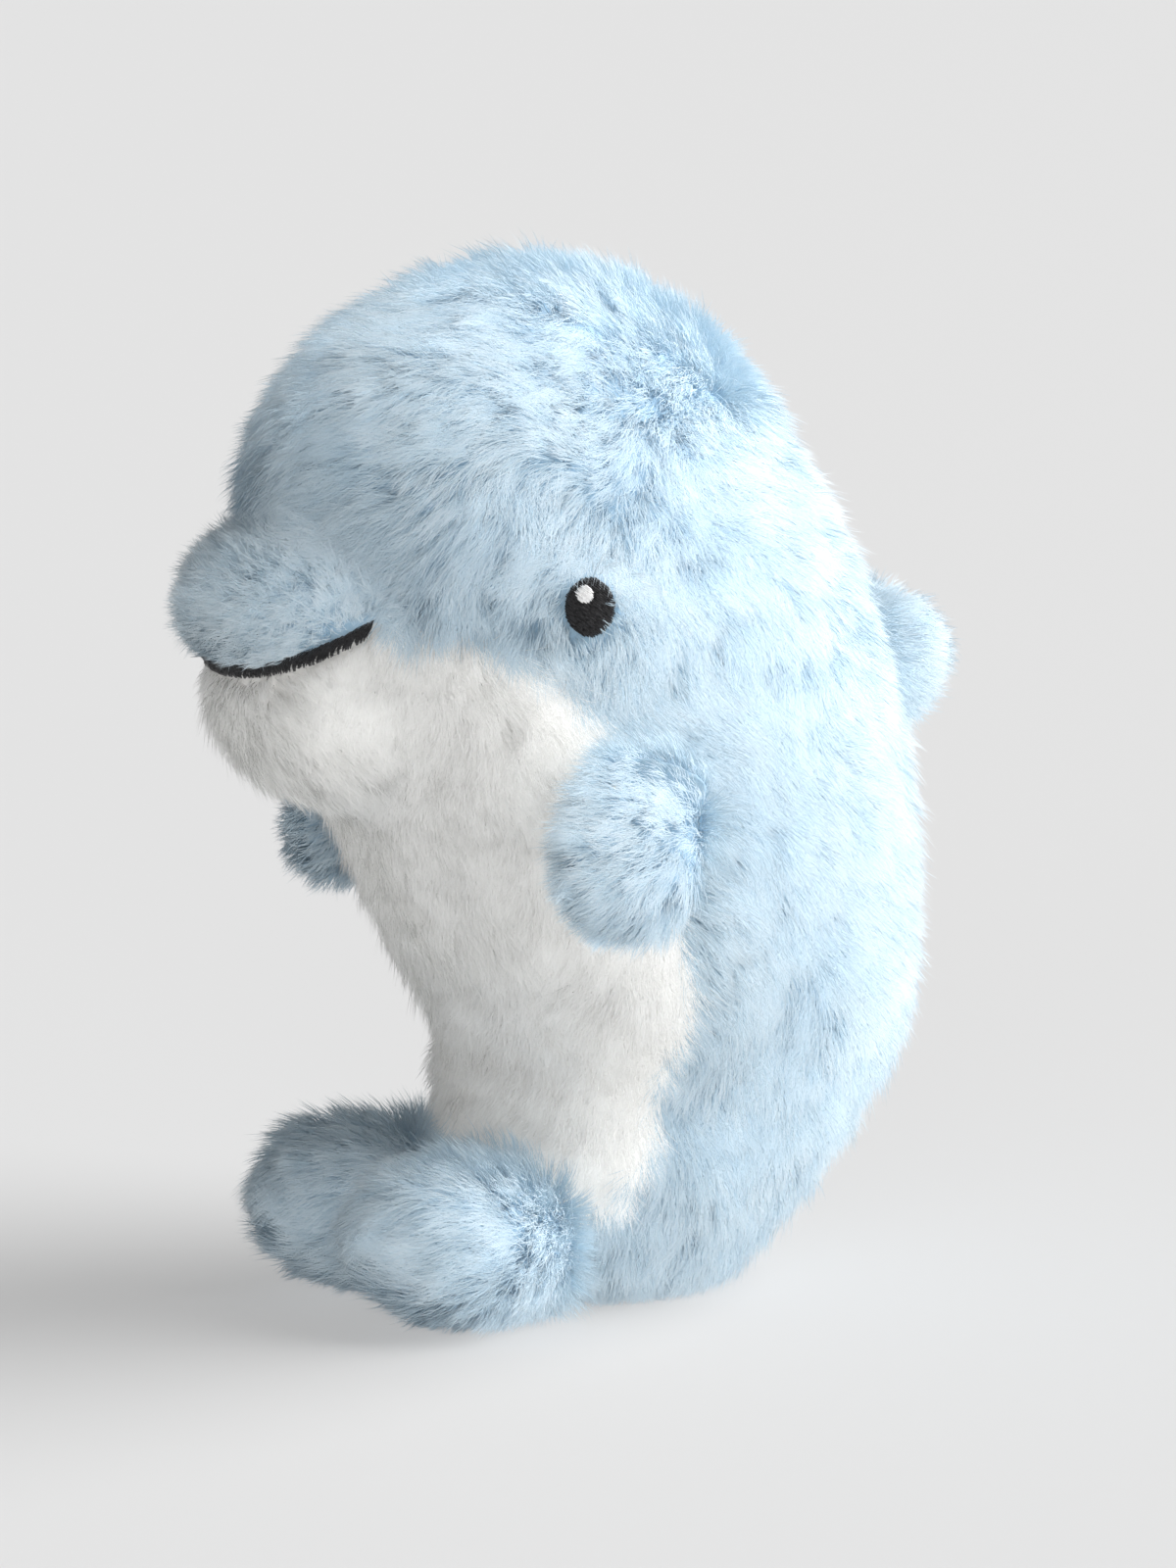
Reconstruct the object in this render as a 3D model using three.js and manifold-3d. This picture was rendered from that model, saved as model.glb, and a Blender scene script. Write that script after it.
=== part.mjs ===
// A plush dolphin that stands upright on its tail: a bent, egg-shaped stuffed body with a short
// beak, two flippers, a dorsal fin and two tail flukes. Panels of long-pile fabric lie round the
// stuffing, and each panel is as thick as its backing and lying pile together.
// Millimetres, +Z up. The toy faces -Y, its left side is +X, and it stands on the plane z = 0.
import * as THREE from 'three';
import { mergeVertices } from 'three/addons/utils/BufferGeometryUtils.js';
import Module from 'manifold-3d';

const wasm = await Module();
wasm.setup();

// Clearance between pieces that touch
const GAP = 0.3;

// Body and head are one bent egg. Each section from the base to the crown has a height, the
// distance of its middle behind the origin, and a radius from front to back.
const BODY_SECTIONS = [
  { height: 0, back: 4, radius: 27 },
  { height: 10, back: 5, radius: 38 },
  { height: 34, back: 14.5, radius: 49.5 },
  { height: 60, back: 23, radius: 56 },
  { height: 86, back: 16.5, radius: 63.5 },
  { height: 112, back: 9, radius: 69 },
  { height: 142, back: -2, radius: 73 },
  { height: 172, back: -12, radius: 72 },
  { height: 200, back: -18.5, radius: 62.5 },
  { height: 224, back: -18.5, radius: 45.5 },
];
const CROWN_HEIGHT = 243;
const CROWN_BACK = -16;
const BODY_WIDTH = 0.98; // radius from side to side, for each millimetre from front to back
const BODY_PILE = 8;
const BASE_CUT = 0.5; // the base is cut flat this deep

// Beak above the mouth line and jaw below it: two round forms on the front of the head
const BEAK_WIDTH = 74;
const BEAK_DEPTH = 70;
const BEAK_HEIGHT = 42;
const BEAK_FORWARD = 67;
const BEAK_LEVEL = 165;
const JAW_WIDTH = 72;
const JAW_DEPTH = 66;
const JAW_HEIGHT = 58;
const JAW_FORWARD = 63;
const JAW_DROP = 18; // of its middle below the beak's
const JAW_LEVEL = BEAK_LEVEL - JAW_DROP;
const SNOUT_PILE = 7;

// Mouth: a smile from corner to corner, sewn as one band of satin stitch. Bearings are degrees
// round from straight ahead.
const MOUTH_CORNER_BEARING = 28;
const MOUTH_DROP = 13.2; // of its middle below the beak's
const MOUTH_LEVEL = BEAK_LEVEL - MOUTH_DROP;
const MOUTH_RISE = 11.7; // of the corners above the middle
const STITCH_WIDTH = 4;
const STITCH_THICKNESS = 2.4;
const STITCH_SUNK = 0.8; // of its middle below the pile
const STITCH_STEPS = 12;
const STITCH_SIDES = 8;

// White front: the bearings and levels of its edge
const CHEEK_BEARING = 62;
const CHEEK_LEVEL = 141;
const CHEEK_FULLNESS = 58; // bearing towards which the cheek's upper edge is drawn
const CHEST_BEARING = 66;
const CHEST_LEVEL = 84;
const BELLY_BEARING = 55;
const BELLY_LEVEL = 30;
const BELLY_END = 20; // level of the white tip above the tail
const CHIN_SEAM_LEVEL = 117; // seam below the jaw
const BELLY_SEAM_LEVEL = 80; // cross seam on the belly, where it passes the origin
const BELLY_SEAM_TILT = 11; // degrees that it drops towards the front

// Eyes: embroidered ovals with a white highlight
const EYE_WIDTH = 12;
const EYE_HEIGHT = 14;
const EYE_THICKNESS = 3.2;
const EYE_SUNK = 2.2; // of its middle below the pile
const EYE_BEARING = 66.5;
const EYE_LEVEL = 168.6;
const HIGHLIGHT_DIAMETER = 4;
const HIGHLIGHT_THICKNESS = 1;
const HIGHLIGHT_FORWARD = 1.4;
const HIGHLIGHT_UP = 3;

// Flippers: rounded paddles, sewn on along their upper edge
const FLIPPER_LENGTH = 46;
const FLIPPER_SECTIONS = [
  { along: 3, width: 26, thickness: 6 },
  { along: 15, width: 36, thickness: 15 },
  { along: 30, width: 38, thickness: 18 },
  { along: 41, width: 26, thickness: 13 },
];
const FLIPPER_PILE = 5.5;
const FLIPPER_BEARING = 72;
const LEFT_FLIPPER_LEVEL = 138;
const RIGHT_FLIPPER_LEVEL = 131; // the right one hangs lower
const FLIPPER_LEAN = 15; // degrees that its tip points forward
const FLIPPER_STAND_OFF = 14; // degrees that its tip stands off the body
const FLIPPER_SWING = 50;

// Dorsal fin: a rounded lobe on the back seam
const FIN_LENGTH = 31;
const FIN_SECTIONS = [
  { along: 3, width: 38, thickness: 7 },
  { along: 12, width: 38, thickness: 16 },
  { along: 22, width: 28, thickness: 15 },
];
const FIN_PILE = 5;
const FIN_LEVEL = 141;
const FIN_LEAN = 12; // degrees that its tip points down
const FIN_SWING = 30;

// Tail flukes: two puffed lobes in front of the base
const FLUKE_LENGTH = 64;
const FLUKE_SECTIONS = [
  { along: 6, width: 32, thickness: 28 },
  { along: 22, width: 50, thickness: 39 },
  { along: 42, width: 56, thickness: 41 },
  { along: 57, width: 38, thickness: 30 },
];
const FLUKE_PILE = 7;
const FLUKE_ROOT_SIDE = 13; // of the root beside the middle
const FLUKE_ROOT_FORWARD = 12;
const FLUKE_SPLAY = 15; // degrees outward from straight ahead
const FLUKE_PITCH = 6; // degrees that its tip points up
const FLUKE_SEAM_FORWARD = 24; // of the seam where it is sewn to the tail
const FLUKE_HINGE_FORWARD = 33; // the top of that seam, about which it lifts
const FLUKE_HINGE_LEVEL = 37;
const FLUKE_LIFT = 25;

// Pellet pouch in the base, under the stuffing
const POUCH_TOP = 38;
const POUCH_WALL = 1.2;

// How finely the forms are divided
const BODY_SIDES = 28;
const BODY_STEPS = 2; // between two sections
const HOLLOW_SIDES = 20;
const HOLLOW_STEPS = 1;
const SNOUT_SIDES = 20;
const LIMB_SIDES = 12;
const LIMB_STEPS = 2;
const EYE_SIDES = 12;
const EDGE_STEPS = 6; // along each curve of the white front's edge
const FAR = 400; // reach of a cutting block, past every piece
const WEDGE_DEPTH = 20; // of the cut round the white front, below the pile
const WEDGE_REACH = 80; // of the same cut, above the pile

const BLUE = 0xb9dcf0;
const WHITE = 0xf4f3f0;
const BLACK = 0x1c1d1f;
const FIBRE = 0xf1efe9;
const CALICO = 0xd8cdb8;
const PELLET = 0xe6e3da;

const radians = THREE.MathUtils.degToRad;

// Booleans

function solid(geometry) {
  const bare = geometry.clone();
  bare.deleteAttribute('normal');
  bare.deleteAttribute('uv');
  const merged = mergeVertices(bare);
  return new wasm.Manifold(new wasm.Mesh({
    numProp: 3,
    vertProperties: new Float32Array(merged.attributes.position.array),
    triVerts: new Uint32Array(merged.index.array),
  }));
}

function geometryOf(manifold) {
  const mesh = manifold.getMesh();
  const geometry = new THREE.BufferGeometry();
  geometry.setAttribute('position', new THREE.BufferAttribute(new Float32Array(mesh.vertProperties), 3));
  geometry.setIndex(new THREE.BufferAttribute(new Uint32Array(mesh.triVerts), 1));
  geometry.computeVertexNormals();
  return geometry;
}

// A block that fills everything on one side of a plane through a point
function halfSpace(point, outward) {
  const block = new THREE.BoxGeometry(2 * FAR, 2 * FAR, FAR);
  const turn = new THREE.Quaternion().setFromUnitVectors(new THREE.Vector3(0, 0, 1), outward);
  const middle = point.clone().addScaledVector(outward, FAR / 2);
  return solid(block.applyMatrix4(new THREE.Matrix4().compose(middle, turn, new THREE.Vector3(1, 1, 1))));
}

function mirrored(manifold) {
  const geometry = geometryOf(manifold);
  geometry.scale(-1, 1, 1);
  const corners = geometry.index.array;
  for (let i = 0; i < corners.length; i += 3) {
    [corners[i], corners[i + 1]] = [corners[i + 1], corners[i]];
  }
  return solid(geometry);
}

// Lofts

// A closed skin over rings of points whose first and last rings are single points. The two halves of
// a ring are divided as mirror images.
function loft(rings) {
  const positions = [];
  const starts = rings.map((ring) => {
    const start = positions.length / 3;
    ring.forEach((p) => positions.push(p.x, p.y, p.z));
    return start;
  });
  const index = [];
  for (let i = 0; i + 1 < rings.length; i += 1) {
    const below = rings[i].length;
    const above = rings[i + 1].length;
    const sides = Math.max(below, above);
    for (let j = 0; j < sides; j += 1) {
      const k = (j + 1) % sides;
      const a = starts[i] + (j % below);
      const b = starts[i] + (k % below);
      const c = starts[i + 1] + (k % above);
      const d = starts[i + 1] + (j % above);
      if (below === 1) index.push(a, c, d);
      else if (above === 1) index.push(a, b, c);
      else if (j < sides / 2) index.push(a, b, c, a, c, d);
      else index.push(a, b, d, b, c, d);
    }
  }
  const geometry = new THREE.BufferGeometry();
  geometry.setAttribute('position', new THREE.Float32BufferAttribute(positions, 3));
  geometry.setIndex(index);
  return geometry;
}

// A smooth curve through points that run from one pole to the other, round at both poles.
// x is the radius, and the first and last points have none.
class PoleCurve {
  constructor(points) {
    const before = points[1].clone().setX(-points[1].x);
    const after = points.at(-2).clone().setX(-points.at(-2).x);
    this.curve = new THREE.CatmullRomCurve3([before, ...points, after]);
    this.spans = points.length - 1;
  }

  // The point at a place from 0, the first pole, to 1, the last
  at(place) {
    return this.curve.getPoint((1 + place * this.spans) / (this.spans + 2));
  }

  tangent(place) {
    return this.curve.getTangent((1 + place * this.spans) / (this.spans + 2));
  }
}

const bodyCurve = new PoleCurve([
  new THREE.Vector3(0, BODY_SECTIONS[0].back, -BASE_CUT),
  ...BODY_SECTIONS.map((s) => new THREE.Vector3(s.radius, s.back, s.height)),
  new THREE.Vector3(0, CROWN_BACK, CROWN_HEIGHT),
]);

// A point of the body's skin, at a place along its curve and a bearing in radians round from
// straight ahead to the left, inset square to the skin
function bodyPoint(place, bearing, inset = 0) {
  const middle = bodyCurve.at(place);
  const run = bodyCurve.tangent(place);
  const slope = Math.hypot(run.x, run.z);
  const radius = Math.max(middle.x - (inset * run.z) / slope, 0);
  const height = middle.z + (inset * run.x) / slope;
  return new THREE.Vector3(
    BODY_WIDTH * radius * Math.sin(bearing),
    middle.y - radius * Math.cos(bearing),
    height,
  );
}

function bodySolid(inset, sides, stepsPerSpan) {
  const steps = bodyCurve.spans * stepsPerSpan;
  const rings = [];
  for (let i = 0; i <= steps; i += 1) {
    const count = i === 0 || i === steps ? 1 : sides;
    rings.push(Array.from({ length: count }, (_, j) => (
      bodyPoint(i / steps, (2 * Math.PI * j) / count, inset)
    )));
  }
  return solid(loft(rings));
}

function hollowForm(inset) {
  return bodySolid(inset, HOLLOW_SIDES, HOLLOW_STEPS);
}

// Where something sits on the body: the point of the skin at a bearing in degrees and a level,
// the body's axis there, and the square directions out of the skin, level along it and up it
function bodySeat(degrees, level, inset = 0) {
  const bearing = radians(degrees);
  let low = 0;
  let high = 1;
  while (high - low > 1e-6) {
    const middle = (low + high) / 2;
    if (bodyCurve.at(middle).z < level) low = middle;
    else high = middle;
  }
  const step = 1e-3;
  const point = bodyPoint(low, bearing, inset);
  const axis = bodyCurve.at(low).setX(0);
  const along = bodyPoint(low, bearing + step, inset).sub(point).normalize();
  const rise = bodyPoint(low + step, bearing, inset).sub(point);
  const out = along.clone().cross(rise).normalize();
  const up = out.clone().cross(along);
  return { point, axis, out, along, up };
}

function roundForm(width, depth, height, forward, level, inset) {
  const ball = new THREE.SphereGeometry(1, SNOUT_SIDES, SNOUT_SIDES / 2);
  ball.rotateX(Math.PI / 2);
  ball.scale(width / 2 - inset, depth / 2 - inset, height / 2 - inset);
  ball.translate(0, -forward, level);
  return solid(ball);
}

function snoutSolid(inset) {
  const beak = roundForm(BEAK_WIDTH, BEAK_DEPTH, BEAK_HEIGHT, BEAK_FORWARD, BEAK_LEVEL, inset);
  const jaw = roundForm(JAW_WIDTH, JAW_DEPTH, JAW_HEIGHT, JAW_FORWARD, JAW_LEVEL, inset);
  return beak.add(jaw);
}

// A rounded paddle that hangs down -Z from its root at the origin, flat across X
function paddle(sections, length) {
  const curve = new PoleCurve([
    new THREE.Vector3(0, 0, 0),
    ...sections.map((s) => new THREE.Vector3(s.width / 2, s.thickness / 2, s.along)),
    new THREE.Vector3(0, 0, length),
  ]);
  const steps = curve.spans * LIMB_STEPS;
  const rings = [];
  for (let i = 0; i <= steps; i += 1) {
    const count = i === 0 || i === steps ? 1 : LIMB_SIDES;
    const { x: half, y: thick, z: along } = curve.at(i / steps);
    rings.push(Array.from({ length: count }, (_, j) => {
      const turn = (-2 * Math.PI * j) / count;
      return new THREE.Vector3(
        count === 1 ? 0 : thick * Math.cos(turn),
        count === 1 ? 0 : half * Math.sin(turn),
        -along,
      );
    }));
  }
  return loft(rings);
}

// The same paddle, smaller by a wall all round
function shrunk(geometry, wall) {
  geometry.computeBoundingBox();
  const size = geometry.boundingBox.getSize(new THREE.Vector3());
  const middle = geometry.boundingBox.getCenter(new THREE.Vector3());
  return geometry.clone()
    .translate(-middle.x, -middle.y, -middle.z)
    .scale(1 - (2 * wall) / size.x, 1 - (2 * wall) / size.y, 1 - (2 * wall) / size.z)
    .translate(middle.x, middle.y, middle.z);
}

// An oval lens, round in all three directions
function lens(width, height, thickness, place) {
  const ball = new THREE.SphereGeometry(1, EYE_SIDES, EYE_SIDES / 2);
  ball.scale(width / 2, height / 2, thickness / 2);
  return solid(ball.applyMatrix4(place));
}

// Body, beak and white front

const origin = new THREE.Vector3();
const ahead = new THREE.Vector3(0, -1, 0);
const leftward = new THREE.Vector3(1, 0, 0);
const upward = new THREE.Vector3(0, 0, 1);
const downward = upward.clone().negate();

const belowFloor = halfSpace(origin, downward);
const outside = bodySolid(0, BODY_SIDES, BODY_STEPS).subtract(belowFloor).add(snoutSolid(0));
const hollow = hollowForm(BODY_PILE).add(snoutSolid(SNOUT_PILE));
const skin = outside.subtract(hollow);
const clearOfBody = bodySolid(-GAP, BODY_SIDES, BODY_STEPS).add(snoutSolid(-GAP));

// The level of the mouth line at a bearing in degrees
function mouthLevel(degrees) {
  return MOUTH_LEVEL + MOUTH_RISE * (degrees / MOUTH_CORNER_BEARING) ** 2;
}

// The edge of the white front as bearings and levels, drawn larger all round by a margin
function whiteEdge(margin) {
  const corner = mouthLevel(MOUTH_CORNER_BEARING);
  const half = new THREE.Path();
  half.moveTo(0, BELLY_END);
  half.quadraticCurveTo(BELLY_BEARING / 2, BELLY_END, BELLY_BEARING, BELLY_LEVEL);
  half.lineTo(CHEST_BEARING, CHEST_LEVEL);
  half.lineTo(CHEEK_BEARING, CHEEK_LEVEL);
  half.quadraticCurveTo(CHEEK_FULLNESS, corner, MOUTH_CORNER_BEARING, corner);
  half.quadraticCurveTo(MOUTH_CORNER_BEARING / 2, MOUTH_LEVEL, 0, MOUTH_LEVEL);
  const left = half.getPoints(EDGE_STEPS);
  const right = left.slice(1, -1).reverse().map((p) => new THREE.Vector2(-p.x, p.y));
  const points = [...left, ...right];
  return points.map((point, i) => {
    const run = points[(i + 1) % points.length].clone().sub(points.at(i - 1)).normalize();
    return new THREE.Vector2(point.x + run.y * margin, point.y - run.x * margin);
  });
}

// Everything inside an edge of bearings and levels, from the heart of the body to the air ahead of
// the beak
function wedge(edge) {
  const middle = new THREE.Vector2(0, CHIN_SEAM_LEVEL);
  const inner = (p) => bodySeat(p.x, p.y, WEDGE_DEPTH).point;
  const outer = (p) => bodySeat(p.x, p.y, -WEDGE_REACH).point;
  const heart = bodySeat(middle.x, middle.y).axis;
  return solid(loft([[heart], edge.map(inner), edge.map(outer), [outer(middle)]]));
}

const white = wedge(whiteEdge(0));
const clearOfWhite = wedge(whiteEdge(GAP));

const group = new THREE.Group();

// The largest solid that a cut leaves, without its crumbs
function largest(manifold) {
  return manifold.decompose().reduce((a, b) => (a.volume() > b.volume() ? a : b));
}

function addPiece(name, manifold, color, roughness) {
  const material = new THREE.MeshStandardMaterial({ color, roughness, metalness: 0 });
  const mesh = new THREE.Mesh(geometryOf(largest(manifold)), material);
  mesh.name = name;
  group.add(mesh);
}

// How far out of the body's axis the skin of the snout lies at a bearing and a level
function snoutReach(degrees, level) {
  const axis = bodySeat(0, level).axis;
  const side = BODY_WIDTH * Math.sin(radians(degrees));
  const front = Math.cos(radians(degrees));
  const forms = [
    [BEAK_WIDTH, BEAK_DEPTH, BEAK_HEIGHT, BEAK_FORWARD, BEAK_LEVEL],
    [JAW_WIDTH, JAW_DEPTH, JAW_HEIGHT, JAW_FORWARD, JAW_LEVEL],
  ];
  return Math.max(...forms.map(([width, depth, height, forward, middle]) => {
    const offset = (axis.y + forward) / (depth / 2);
    const x = side / (width / 2);
    const y = -front / (depth / 2);
    const z = (level - middle) / (height / 2);
    const a = x * x + y * y;
    const b = offset * y;
    const c = offset * offset + z * z - 1;
    return (-b + Math.sqrt(Math.max(b * b - a * c, 0))) / a;
  }));
}

// The satin stitch along the mouth, thicker all round by a margin
function mouthBand(margin) {
  const rings = [];
  for (let i = 0; i <= STITCH_STEPS; i += 1) {
    const degrees = MOUTH_CORNER_BEARING * ((2 * i) / STITCH_STEPS - 1);
    const level = mouthLevel(degrees);
    const out = new THREE.Vector3(BODY_WIDTH * Math.sin(radians(degrees)), -Math.cos(radians(degrees)), 0);
    const reach = snoutReach(degrees, level) - STITCH_SUNK;
    const middle = bodySeat(0, level).axis.addScaledVector(out, reach);
    const ring = Array.from({ length: STITCH_SIDES }, (_, j) => {
      const turn = (-2 * Math.PI * j) / STITCH_SIDES;
      return middle.clone()
        .addScaledVector(out, (STITCH_THICKNESS / 2 + margin) * Math.cos(turn))
        .addScaledVector(upward, (STITCH_WIDTH / 2 + margin) * Math.sin(turn));
    });
    if (i === 0) rings.push([middle]);
    rings.push(ring);
    if (i === STITCH_STEPS) rings.push([middle]);
  }
  return solid(loft(rings));
}

// Body panels, each cut clear of its neighbours

const leftHalf = halfSpace(leftward.clone().multiplyScalar(GAP / 2), leftward);
const mouthGroove = mouthBand(GAP);
const blueSkin = skin.subtract(clearOfWhite);
const beak = roundForm(BEAK_WIDTH, BEAK_DEPTH, BEAK_HEIGHT, BEAK_FORWARD, BEAK_LEVEL, 0);
const clearOfBeak = roundForm(BEAK_WIDTH, BEAK_DEPTH, BEAK_HEIGHT, BEAK_FORWARD, BEAK_LEVEL, -GAP);
const whiteSkin = skin.intersect(white).subtract(mouthGroove);

const eyeSeat = bodySeat(EYE_BEARING, EYE_LEVEL);
const eyePlace = new THREE.Matrix4()
  .makeBasis(eyeSeat.along, eyeSeat.up, eyeSeat.out)
  .setPosition(eyeSeat.point.clone().addScaledVector(eyeSeat.out, -EYE_SUNK));

// The eye and the well above it in which the pile is cut away
function eyeWell() {
  const width = EYE_WIDTH + 2 * GAP;
  const height = EYE_HEIGHT + 2 * GAP;
  const oval = new THREE.Shape().absellipse(0, 0, width / 2, height / 2, 0, 2 * Math.PI);
  const well = new THREE.ExtrudeGeometry(oval, {
    depth: EYE_SUNK + EYE_HEIGHT,
    bevelEnabled: false,
    curveSegments: EYE_SIDES,
  });
  const seat = lens(width, height, EYE_THICKNESS + 2 * GAP, eyePlace);
  return solid(well.applyMatrix4(eyePlace)).add(seat);
}

const leftSide = blueSkin
  .subtract(clearOfBeak)
  .subtract(mouthGroove)
  .intersect(leftHalf)
  .subtract(eyeWell());
addPiece('left_side_panel', leftSide, BLUE, 1);
addPiece('right_side_panel', mirrored(leftSide), BLUE, 1);
addPiece('upper_beak_panel', blueSkin.intersect(beak).subtract(mouthGroove), BLUE, 1);

// What lies above or below a seam across the white front
function beyondSeam(level, tilt, side) {
  const slope = radians(tilt);
  const across = new THREE.Vector3(0, -Math.sin(slope), -Math.cos(slope)).multiplyScalar(side);
  const point = new THREE.Vector3(0, 0, level).addScaledVector(across, GAP / 2);
  return halfSpace(point, across);
}

const ABOVE = -1;
const BELOW = 1;
addPiece('chin_panel', whiteSkin.intersect(beyondSeam(CHIN_SEAM_LEVEL, 0, ABOVE)), WHITE, 1);
addPiece('chest_panel', whiteSkin
  .intersect(beyondSeam(CHIN_SEAM_LEVEL, 0, BELOW))
  .intersect(beyondSeam(BELLY_SEAM_LEVEL, -BELLY_SEAM_TILT, ABOVE)), WHITE, 1);
addPiece('lower_belly_panel', whiteSkin
  .intersect(beyondSeam(BELLY_SEAM_LEVEL, -BELLY_SEAM_TILT, BELOW)), WHITE, 1);

// Embroidery

addPiece('mouth_stitch', mouthBand(0), BLACK, 0.6);

const highlightDepth = (EYE_THICKNESS / 2) * Math.sqrt(
  1 - (HIGHLIGHT_FORWARD / (EYE_WIDTH / 2)) ** 2 - (HIGHLIGHT_UP / (EYE_HEIGHT / 2)) ** 2,
);
const highlightPlace = eyePlace.clone().multiply(
  new THREE.Matrix4().makeTranslation(-HIGHLIGHT_FORWARD, HIGHLIGHT_UP, highlightDepth),
);

function highlight(margin) {
  const across = HIGHLIGHT_DIAMETER + 2 * margin;
  return lens(across, across, HIGHLIGHT_THICKNESS + 2 * margin, highlightPlace);
}

const eye = lens(EYE_WIDTH, EYE_HEIGHT, EYE_THICKNESS, eyePlace).subtract(highlight(GAP));
addPiece('left_eye', eye, BLACK, 0.5);
addPiece('right_eye', mirrored(eye), BLACK, 0.5);
addPiece('left_eye_highlight', highlight(0), WHITE, 0.5);
addPiece('right_eye_highlight', mirrored(highlight(0)), WHITE, 0.5);

// Stuffing of the body, and the pellet pouch under it

const core = hollowForm(BODY_PILE + GAP);
const abovePouch = halfSpace(new THREE.Vector3(0, 0, POUCH_TOP + GAP), upward);
const stuffing = core.add(snoutSolid(SNOUT_PILE + GAP)).intersect(abovePouch);
addPiece('body_stuffing', stuffing, FIBRE, 1);

const belowPouchTop = halfSpace(new THREE.Vector3(0, 0, POUCH_TOP), downward);
const belowCover = halfSpace(new THREE.Vector3(0, 0, POUCH_TOP - POUCH_WALL - GAP), downward);
const aboveCover = halfSpace(new THREE.Vector3(0, 0, POUCH_TOP - POUCH_WALL), upward);
const pouchInside = hollowForm(BODY_PILE + GAP + POUCH_WALL);
const pellets = hollowForm(BODY_PILE + GAP + POUCH_WALL + GAP);
addPiece('pellet_pouch_cup', core.intersect(belowCover).subtract(pouchInside), CALICO, 0.9);
addPiece('pellet_pouch_cover', core.intersect(belowPouchTop).intersect(aboveCover), CALICO, 0.9);
addPiece('pellet_fill', pellets.intersect(belowCover), PELLET, 0.6);

// Limbs

// Everything that the body sweeps, seen from a limb that swings through the given degrees
function sweptBody(hinge, swings) {
  return swings.map((degrees) => {
    const turn = new THREE.Matrix4().makeTranslation(hinge.point)
      .multiply(new THREE.Matrix4().makeRotationAxis(hinge.axis, -radians(degrees)))
      .multiply(new THREE.Matrix4().makeTranslation(hinge.point.clone().negate()));
    return solid(geometryOf(clearOfBody).applyMatrix4(turn));
  }).reduce((all, next) => all.add(next));
}

// A stuffed limb: two panels that meet at its edge, and its stuffing, all clear of what it swings past
function limb({ sections, length, pile, place, clear }) {
  const form = paddle(sections, length);
  const outer = solid(form.clone().applyMatrix4(place)).subtract(clear);
  const inner = solid(shrunk(form, pile).applyMatrix4(place));
  const fill = solid(shrunk(form, pile + GAP).applyMatrix4(place)).subtract(clear);
  const across = new THREE.Vector3().setFromMatrixColumn(place, 0);
  const root = new THREE.Vector3().setFromMatrixPosition(place);
  const shell = outer.subtract(inner);
  const half = (side) => {
    const out = across.clone().multiplyScalar(side);
    return shell.intersect(halfSpace(root.clone().addScaledVector(out, GAP / 2), out));
  };
  return { front: half(1), rear: half(-1), fill };
}

// A hinge line on the other side of the toy
function mirroredHinge({ point, axis }) {
  return {
    point: new THREE.Vector3(-point.x, point.y, point.z),
    axis: new THREE.Vector3(axis.x, -axis.y, -axis.z),
  };
}

function flipperAt(level) {
  const seat = bodySeat(FLIPPER_BEARING, level);
  const hinge = { point: seat.point, axis: seat.along.clone().negate() };
  const pieces = limb({
    sections: FLIPPER_SECTIONS,
    length: FLIPPER_LENGTH,
    pile: FLIPPER_PILE,
    place: new THREE.Matrix4()
      .makeBasis(seat.out, seat.along, seat.up)
      .setPosition(seat.point)
      .multiply(new THREE.Matrix4().makeRotationX(-radians(FLIPPER_LEAN)))
      .multiply(new THREE.Matrix4().makeRotationY(-radians(FLIPPER_STAND_OFF))),
    clear: sweptBody(hinge, [0, FLIPPER_SWING]),
  });
  return { ...pieces, hinge };
}

const leftFlipper = flipperAt(LEFT_FLIPPER_LEVEL);
const rightFlipper = flipperAt(RIGHT_FLIPPER_LEVEL);
addPiece('left_flipper_outer_panel', leftFlipper.front, BLUE, 1);
addPiece('left_flipper_inner_panel', leftFlipper.rear, BLUE, 1);
addPiece('left_flipper_stuffing', leftFlipper.fill, FIBRE, 1);
addPiece('right_flipper_outer_panel', mirrored(rightFlipper.front), BLUE, 1);
addPiece('right_flipper_inner_panel', mirrored(rightFlipper.rear), BLUE, 1);
addPiece('right_flipper_stuffing', mirrored(rightFlipper.fill), FIBRE, 1);

const finSeat = bodySeat(180, FIN_LEVEL);
const finHinge = { point: finSeat.point, axis: finSeat.up };
const fin = limb({
  sections: FIN_SECTIONS,
  length: FIN_LENGTH,
  pile: FIN_PILE,
  place: new THREE.Matrix4()
    .makeBasis(leftward, finSeat.up, leftward.clone().cross(finSeat.up))
    .setPosition(finSeat.point)
    .multiply(new THREE.Matrix4().makeRotationX(-radians(FIN_LEAN))),
  clear: sweptBody(finHinge, [-FIN_SWING, 0, FIN_SWING]),
});
addPiece('dorsal_fin_left_panel', fin.front, BLUE, 1);
addPiece('dorsal_fin_right_panel', fin.rear, BLUE, 1);
addPiece('dorsal_fin_stuffing', fin.fill, FIBRE, 1);

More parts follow.
